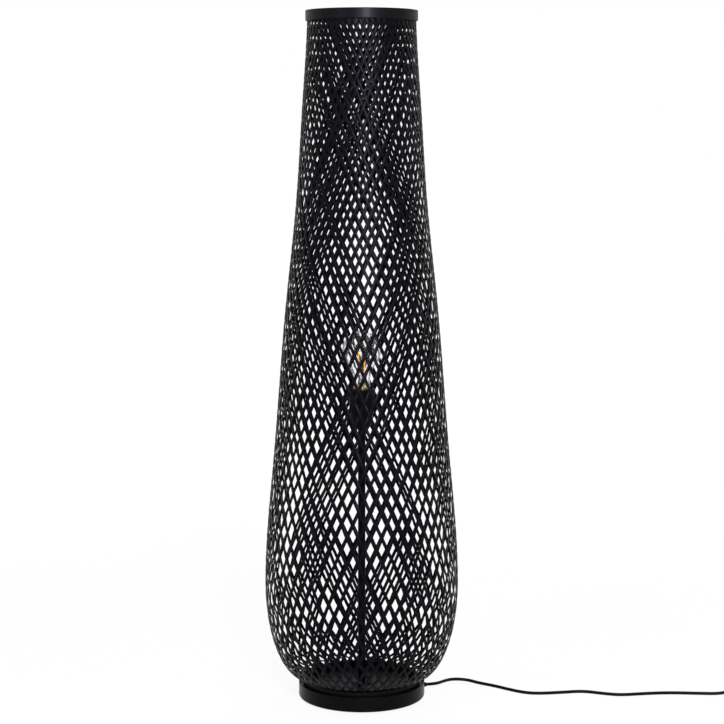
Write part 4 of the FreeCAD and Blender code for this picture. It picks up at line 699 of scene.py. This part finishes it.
def woven_strips(name, hand, node):
    """One family of strips, each over one and under one of the other family.

    A strip's middle follows the course. It swings out and in as c / sqrt(c^2 + SWING_EASE), where
    c is the cosine that is 1 and -1 at its crossings, so that it lies flat there and passes over
    quickly between. Hand-laid strips wander sideways by a sum of sines, the k-th of them divided
    by 0.7 + 0.3 k. The section is a flat bar with two bevelled outer edges.
    """
    radius, height, normal_out, normal_up, turn, lean = strip_course(STRIP_ROWS)
    swing = np.cos(2 * np.pi * turn / STRIP_SPACING) * hand
    swing = WEAVE_SWING * swing / np.sqrt(swing**2 + SWING_EASE)
    strip = np.arange(STRIPS)[:, None]
    length = np.linspace(0, 1, STRIP_ROWS)
    drift = rng.normal(0, WANDER, (STRIPS, WANDER_WAVES))
    wave = np.arange(1, WANDER_WAVES + 1)[:, None]
    wander = drift @ (np.sin(np.pi * wave * length) / (0.7 + 0.3 * wave))
    wide = MEAN_WIDTH + WIDTH_SPREAD * rng.normal(0, 1, (STRIPS, 1))
    wide = wide + WIDTH_WAVE * np.sin(2 * np.pi * (WIDTH_WAVES * length + strip * WIDTH_SHIFT))
    angle = SHADE_TURN + (strip + 0.5) * STRIP_SPACING + hand * turn + wander / radius
    out = np.stack([np.cos(angle), np.sin(angle), np.zeros_like(angle)], -1)
    around = np.stack([-np.sin(angle), np.cos(angle), np.zeros_like(angle)], -1) * hand
    up = np.array([0.0, 0.0, 1.0])
    normal = out * normal_out[:, None] + up * normal_up[:, None]
    rise = up * normal_out[:, None] - out * normal_up[:, None]
    side = around * np.cos(lean)[:, None] - rise * np.sin(lean)[:, None]
    middle = out * radius[:, None] + up * height[:, None] + normal * swing[:, None]
    section = np.array(STRIP_SECTION)
    across = section[:, 0] * STRIP_WIDTH / 2
    deep = section[:, 1] * STRIP_THICKNESS
    width = wide[..., None, None] * across[:, None]
    points = middle[:, :, None] + side[:, :, None] * width + normal[:, :, None] * deep[:, None]
    faces = tube_faces(STRIP_ROWS, len(section), STRIPS)
    if hand < 0:
        faces = faces[:, ::-1]
    piece = mesh_piece(name, "shade", "black_bamboo", points, faces)
    close_ends(piece.data)
    set_grain(
        piece.data,
        along=(length * GRAIN_LENGTH)[None, :, None],
        across=wide[..., None] * across,
        strip=(strip * GRAIN_STEP + hand)[..., None],
    )
    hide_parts(node)


woven_strips("weave_left", 1, "weave_strips_left")
woven_strips("weave_right", -1, "weave_strips_right")


# --- Strap round the stored cord ---

STRAP_CENTRE = (0.803745, 0.0375, 0.00745)
STRAP_HALF = (0.012105, 0.00695)
STRAP_CORNER = 0.0019
STRAP_WIDTH = 0.0114
STRAP_THICKNESS = 0.00078
STRAP_OVERLAP = 0.0095
STRAP_CLIMB = 0.004
STRAP_GAP = 0.00006
STRAP_BOW = 0.0002
# The edge's waves, each a share of the width and how fast it turns along the strap.
STRAP_WAVES = ((0.012, 900.0), (0.008, 2300.0))
STRAP_ROWS = 180
CORNER_STEPS = 12
# Corners of the strap's section, as shares of half its width and of its thickness.
STRAP_SECTION = (
    *((-1, -0.3), (-0.97, -0.5), (0.97, -0.5), (1, -0.3)),
    *((1, 0.3), (0.97, 0.5), (-0.97, 0.5), (-1, 0.3)),
)


def coil_strap():
    """Strap once round the turns and over its own start.

    Its line is a rectangle with quarter circles for corners, from the middle of the top. It bows
    in by STRAP_BOW sin^2 at its two ends, and climbs over STRAP_CLIMB before it overlaps itself.
    """
    wide, tall = (half - STRAP_CORNER for half in STRAP_HALF)
    quarter = np.linspace(0, np.pi / 2, CORNER_STEPS)
    middles = [(wide, tall), (wide, -tall), (-wide, -tall), (-wide, tall)]
    line = [np.array([[0.0, STRAP_HALF[1]]])]
    for corner, middle in enumerate(middles):
        angle = np.pi / 2 - quarter - corner * np.pi / 2
        line.append(middle + STRAP_CORNER * np.stack([np.cos(angle), np.sin(angle)], -1))
    line = np.concatenate([*line, line[0]])
    places = travelled(*line.T)
    around = places[-1]
    wanted = np.linspace(0, around + STRAP_OVERLAP, STRAP_ROWS)
    x, z = (np.interp(wanted % around, places, way) for way in line.T)
    way = np.stack([np.gradient(x), np.gradient(z)], -1)
    way /= np.linalg.norm(way, axis=1)[:, None]
    outward = np.stack([-way[:, 1], way[:, 0]], -1)
    climb = np.clip((wanted - around + STRAP_CLIMB) / STRAP_CLIMB, 0, 1)
    climb = climb**2 * (3 - 2 * climb) * (STRAP_THICKNESS + STRAP_GAP)
    lift = climb - STRAP_BOW * np.sin(2 * np.pi * wanted / around) ** 2
    ripple = sum((share * np.sin(wanted * pace) for share, pace in STRAP_WAVES), 1.0)
    section = np.array(STRAP_SECTION)
    across = (STRAP_WIDTH / 2 * ripple)[:, None] * section[:, 0]
    reach = lift[:, None] + section[:, 1] * STRAP_THICKNESS
    points = np.empty((STRAP_ROWS, len(section), 3))
    points[..., 0] = STRAP_CENTRE[0] + x[:, None] + outward[:, [0]] * reach
    points[..., 1] = STRAP_CENTRE[1] + across
    points[..., 2] = STRAP_CENTRE[2] + z[:, None] + outward[:, [1]] * reach
    faces = tube_faces(STRAP_ROWS, len(section))
    piece = mesh_piece("cord_strap", "base", "tie_fabric", points, faces)
    close_ends(piece.data)
    set_grain(piece.data, along=wanted[:, None], across=across, strip=0.0)
    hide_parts("coil_tie")
    return piece


strap = coil_strap()


# --- Screw cap of the bulb ---

CAP_BOTTOM, CAP_TOP = 0.489, 0.510
CAP_RADIUS = 0.0131
NOSE_RADIUS = CAP_RADIUS - 0.002
COLLAR_RADIUS = 0.01375
COLLAR_BOTTOM = CAP_TOP - 0.0045
SHEET = 0.0003
THREAD_BOTTOM, THREAD_TOP = CAP_BOTTOM + 0.0025, CAP_TOP - 0.0065
THREAD_PITCH = 0.003629
THREAD_DEPTH = 0.0010
THREAD_FADE = 0.0015
CAP_ROWS, CAP_COLUMNS = 120, 96


def threaded_cap():
    """Pressed brass sheet with a rolled thread, up to a collar round the glass.

    Its radius is CAP_RADIUS less half the depth times 1 - cos(2 pi z / pitch - angle), faded out
    towards the nose and the collar. The inner face follows the outer one at one sheet's distance.
    """
    heights = [CAP_BOTTOM, THREAD_BOTTOM, THREAD_TOP, COLLAR_BOTTOM, CAP_TOP]
    radii = [NOSE_RADIUS, CAP_RADIUS, CAP_RADIUS, COLLAR_RADIUS, COLLAR_RADIUS]
    height = np.linspace(CAP_BOTTOM, CAP_TOP, CAP_ROWS)
    radius = np.interp(height, heights, radii)
    angle = np.linspace(0, 2 * np.pi, CAP_COLUMNS, endpoint=False)
    fade_in = np.clip((height - THREAD_BOTTOM) / THREAD_FADE, 0, 1)
    fade_out = np.clip((THREAD_TOP - height) / THREAD_FADE, 0, 1)
    depth = (fade_in * fade_out)[:, None] * THREAD_DEPTH
    turn = 2 * np.pi * (height - CAP_BOTTOM)[:, None] / THREAD_PITCH - angle
    outside = radius[:, None] - depth * (1 - np.cos(turn)) / 2
    rim = np.concatenate([outside, outside[::-1] - SHEET])
    level = np.concatenate([height, height[::-1]])[:, None]
    points = np.stack(np.broadcast_arrays(rim * np.cos(angle), rim * np.sin(angle), level), -1)
    faces = tube_faces(2 * CAP_ROWS, CAP_COLUMNS, closed=True)
    piece = mesh_piece("bulb_screw_cap", "bulb", "brass", points, faces)
    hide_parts("bulb_cap")


threaded_cap()


# --- Floor, backdrop and light ---

FLOOR_SIZE = 24.0
FLOOR_POINTS = 5
FLOOR_GLOW = 1.03
# How much of the floor is glow near the lamp, and where the rest of it becomes glow too.
GLOW_SHARE = 0.88
GLOW_REACH = (0.6, 2.6)
WORLD_LIGHT = 0.45


def floor_finish():
    """White studio floor: to an eye mostly an even glow, so that the shadow on it stays soft."""
    finish = Finish("studio_floor")
    shade = finish.noise(finish.place(), 3.0, 2.0)
    colour = finish.blend(shade, (0.86, 0.86, 0.86), (0.9, 0.9, 0.9))
    sockets = {"Base Color": colour, "Roughness": 0.9}
    matt = finish.node("ShaderNodeBsdfPrincipled", sockets=sockets)
    glow = finish.node("ShaderNodeEmission", sockets={"Strength": FLOOR_GLOW})
    place = {0: finish.place()}
    away = finish.node("ShaderNodeVectorMath", {"operation": "LENGTH"}, place, "Value")
    share = finish.seen() * (GLOW_SHARE + away.over(*GLOW_REACH) * (1 - GLOW_SHARE))
    return finish.end(finish.node("ShaderNodeMixShader", sockets={0: share, 1: matt, 2: glow}))


def studio_floor():
    """Level grid round the origin, at height 0."""
    steps = np.linspace(-FLOOR_SIZE / 2, FLOOR_SIZE / 2, FLOOR_POINTS)
    across, deep = np.meshgrid(steps, steps)
    points = np.stack([across, deep, np.zeros_like(across)], -1)
    index = np.arange(FLOOR_POINTS**2).reshape(FLOOR_POINTS, FLOOR_POINTS)
    corners = [index[:-1, :-1], index[:-1, 1:], index[1:, 1:], index[1:, :-1]]
    floor = mesh_object("studio_floor", points, np.stack(corners, -1).reshape(-1, 4))
    floor.data.materials.append(floor_finish())


def studio_world():
    """White where a camera, mirror or glass ray meets it, and a plain grey light for the rest."""
    finish = Finish("studio", bpy.data.worlds, "ShaderNodeOutputWorld")
    sockets = {"Color": (1.0, 1.0, 1.0), "Strength": finish.seen().larger(WORLD_LIGHT)}
    bpy.context.scene.world = finish.end(finish.node("ShaderNodeBackground", sockets=sockets))


def soft_box(name, place, target, width, height, power):
    """Rectangular lamp that faces a target."""
    data = bpy.data.lights.new(name, "AREA")
    data.shape = "RECTANGLE"
    data.size = width
    data.size_y = height
    data.energy = power
    lamp = bpy.data.objects.new(name, data)
    lamp.location = place
    way = Vector(target) - Vector(place)
    lamp.rotation_euler = way.to_track_quat("-Z", "Y").to_euler()
    bpy.context.collection.objects.link(lamp)


studio_floor()
studio_world()
soft_box("key", (0.42, -2.5, 1.45), (0, 0, 1.0), width=0.55, height=0.7, power=62.0)
soft_box("fill", (-1.9, -2.0, 1.9), (0, 0, 0.6), width=0.5, height=1.6, power=9.0)
soft_box("rim", (0.6, 2.4, 2.4), (0, 0, 0.6), width=1.6, height=1.2, power=22.0)

scene = bpy.context.scene
scene.view_settings.view_transform = "Standard"
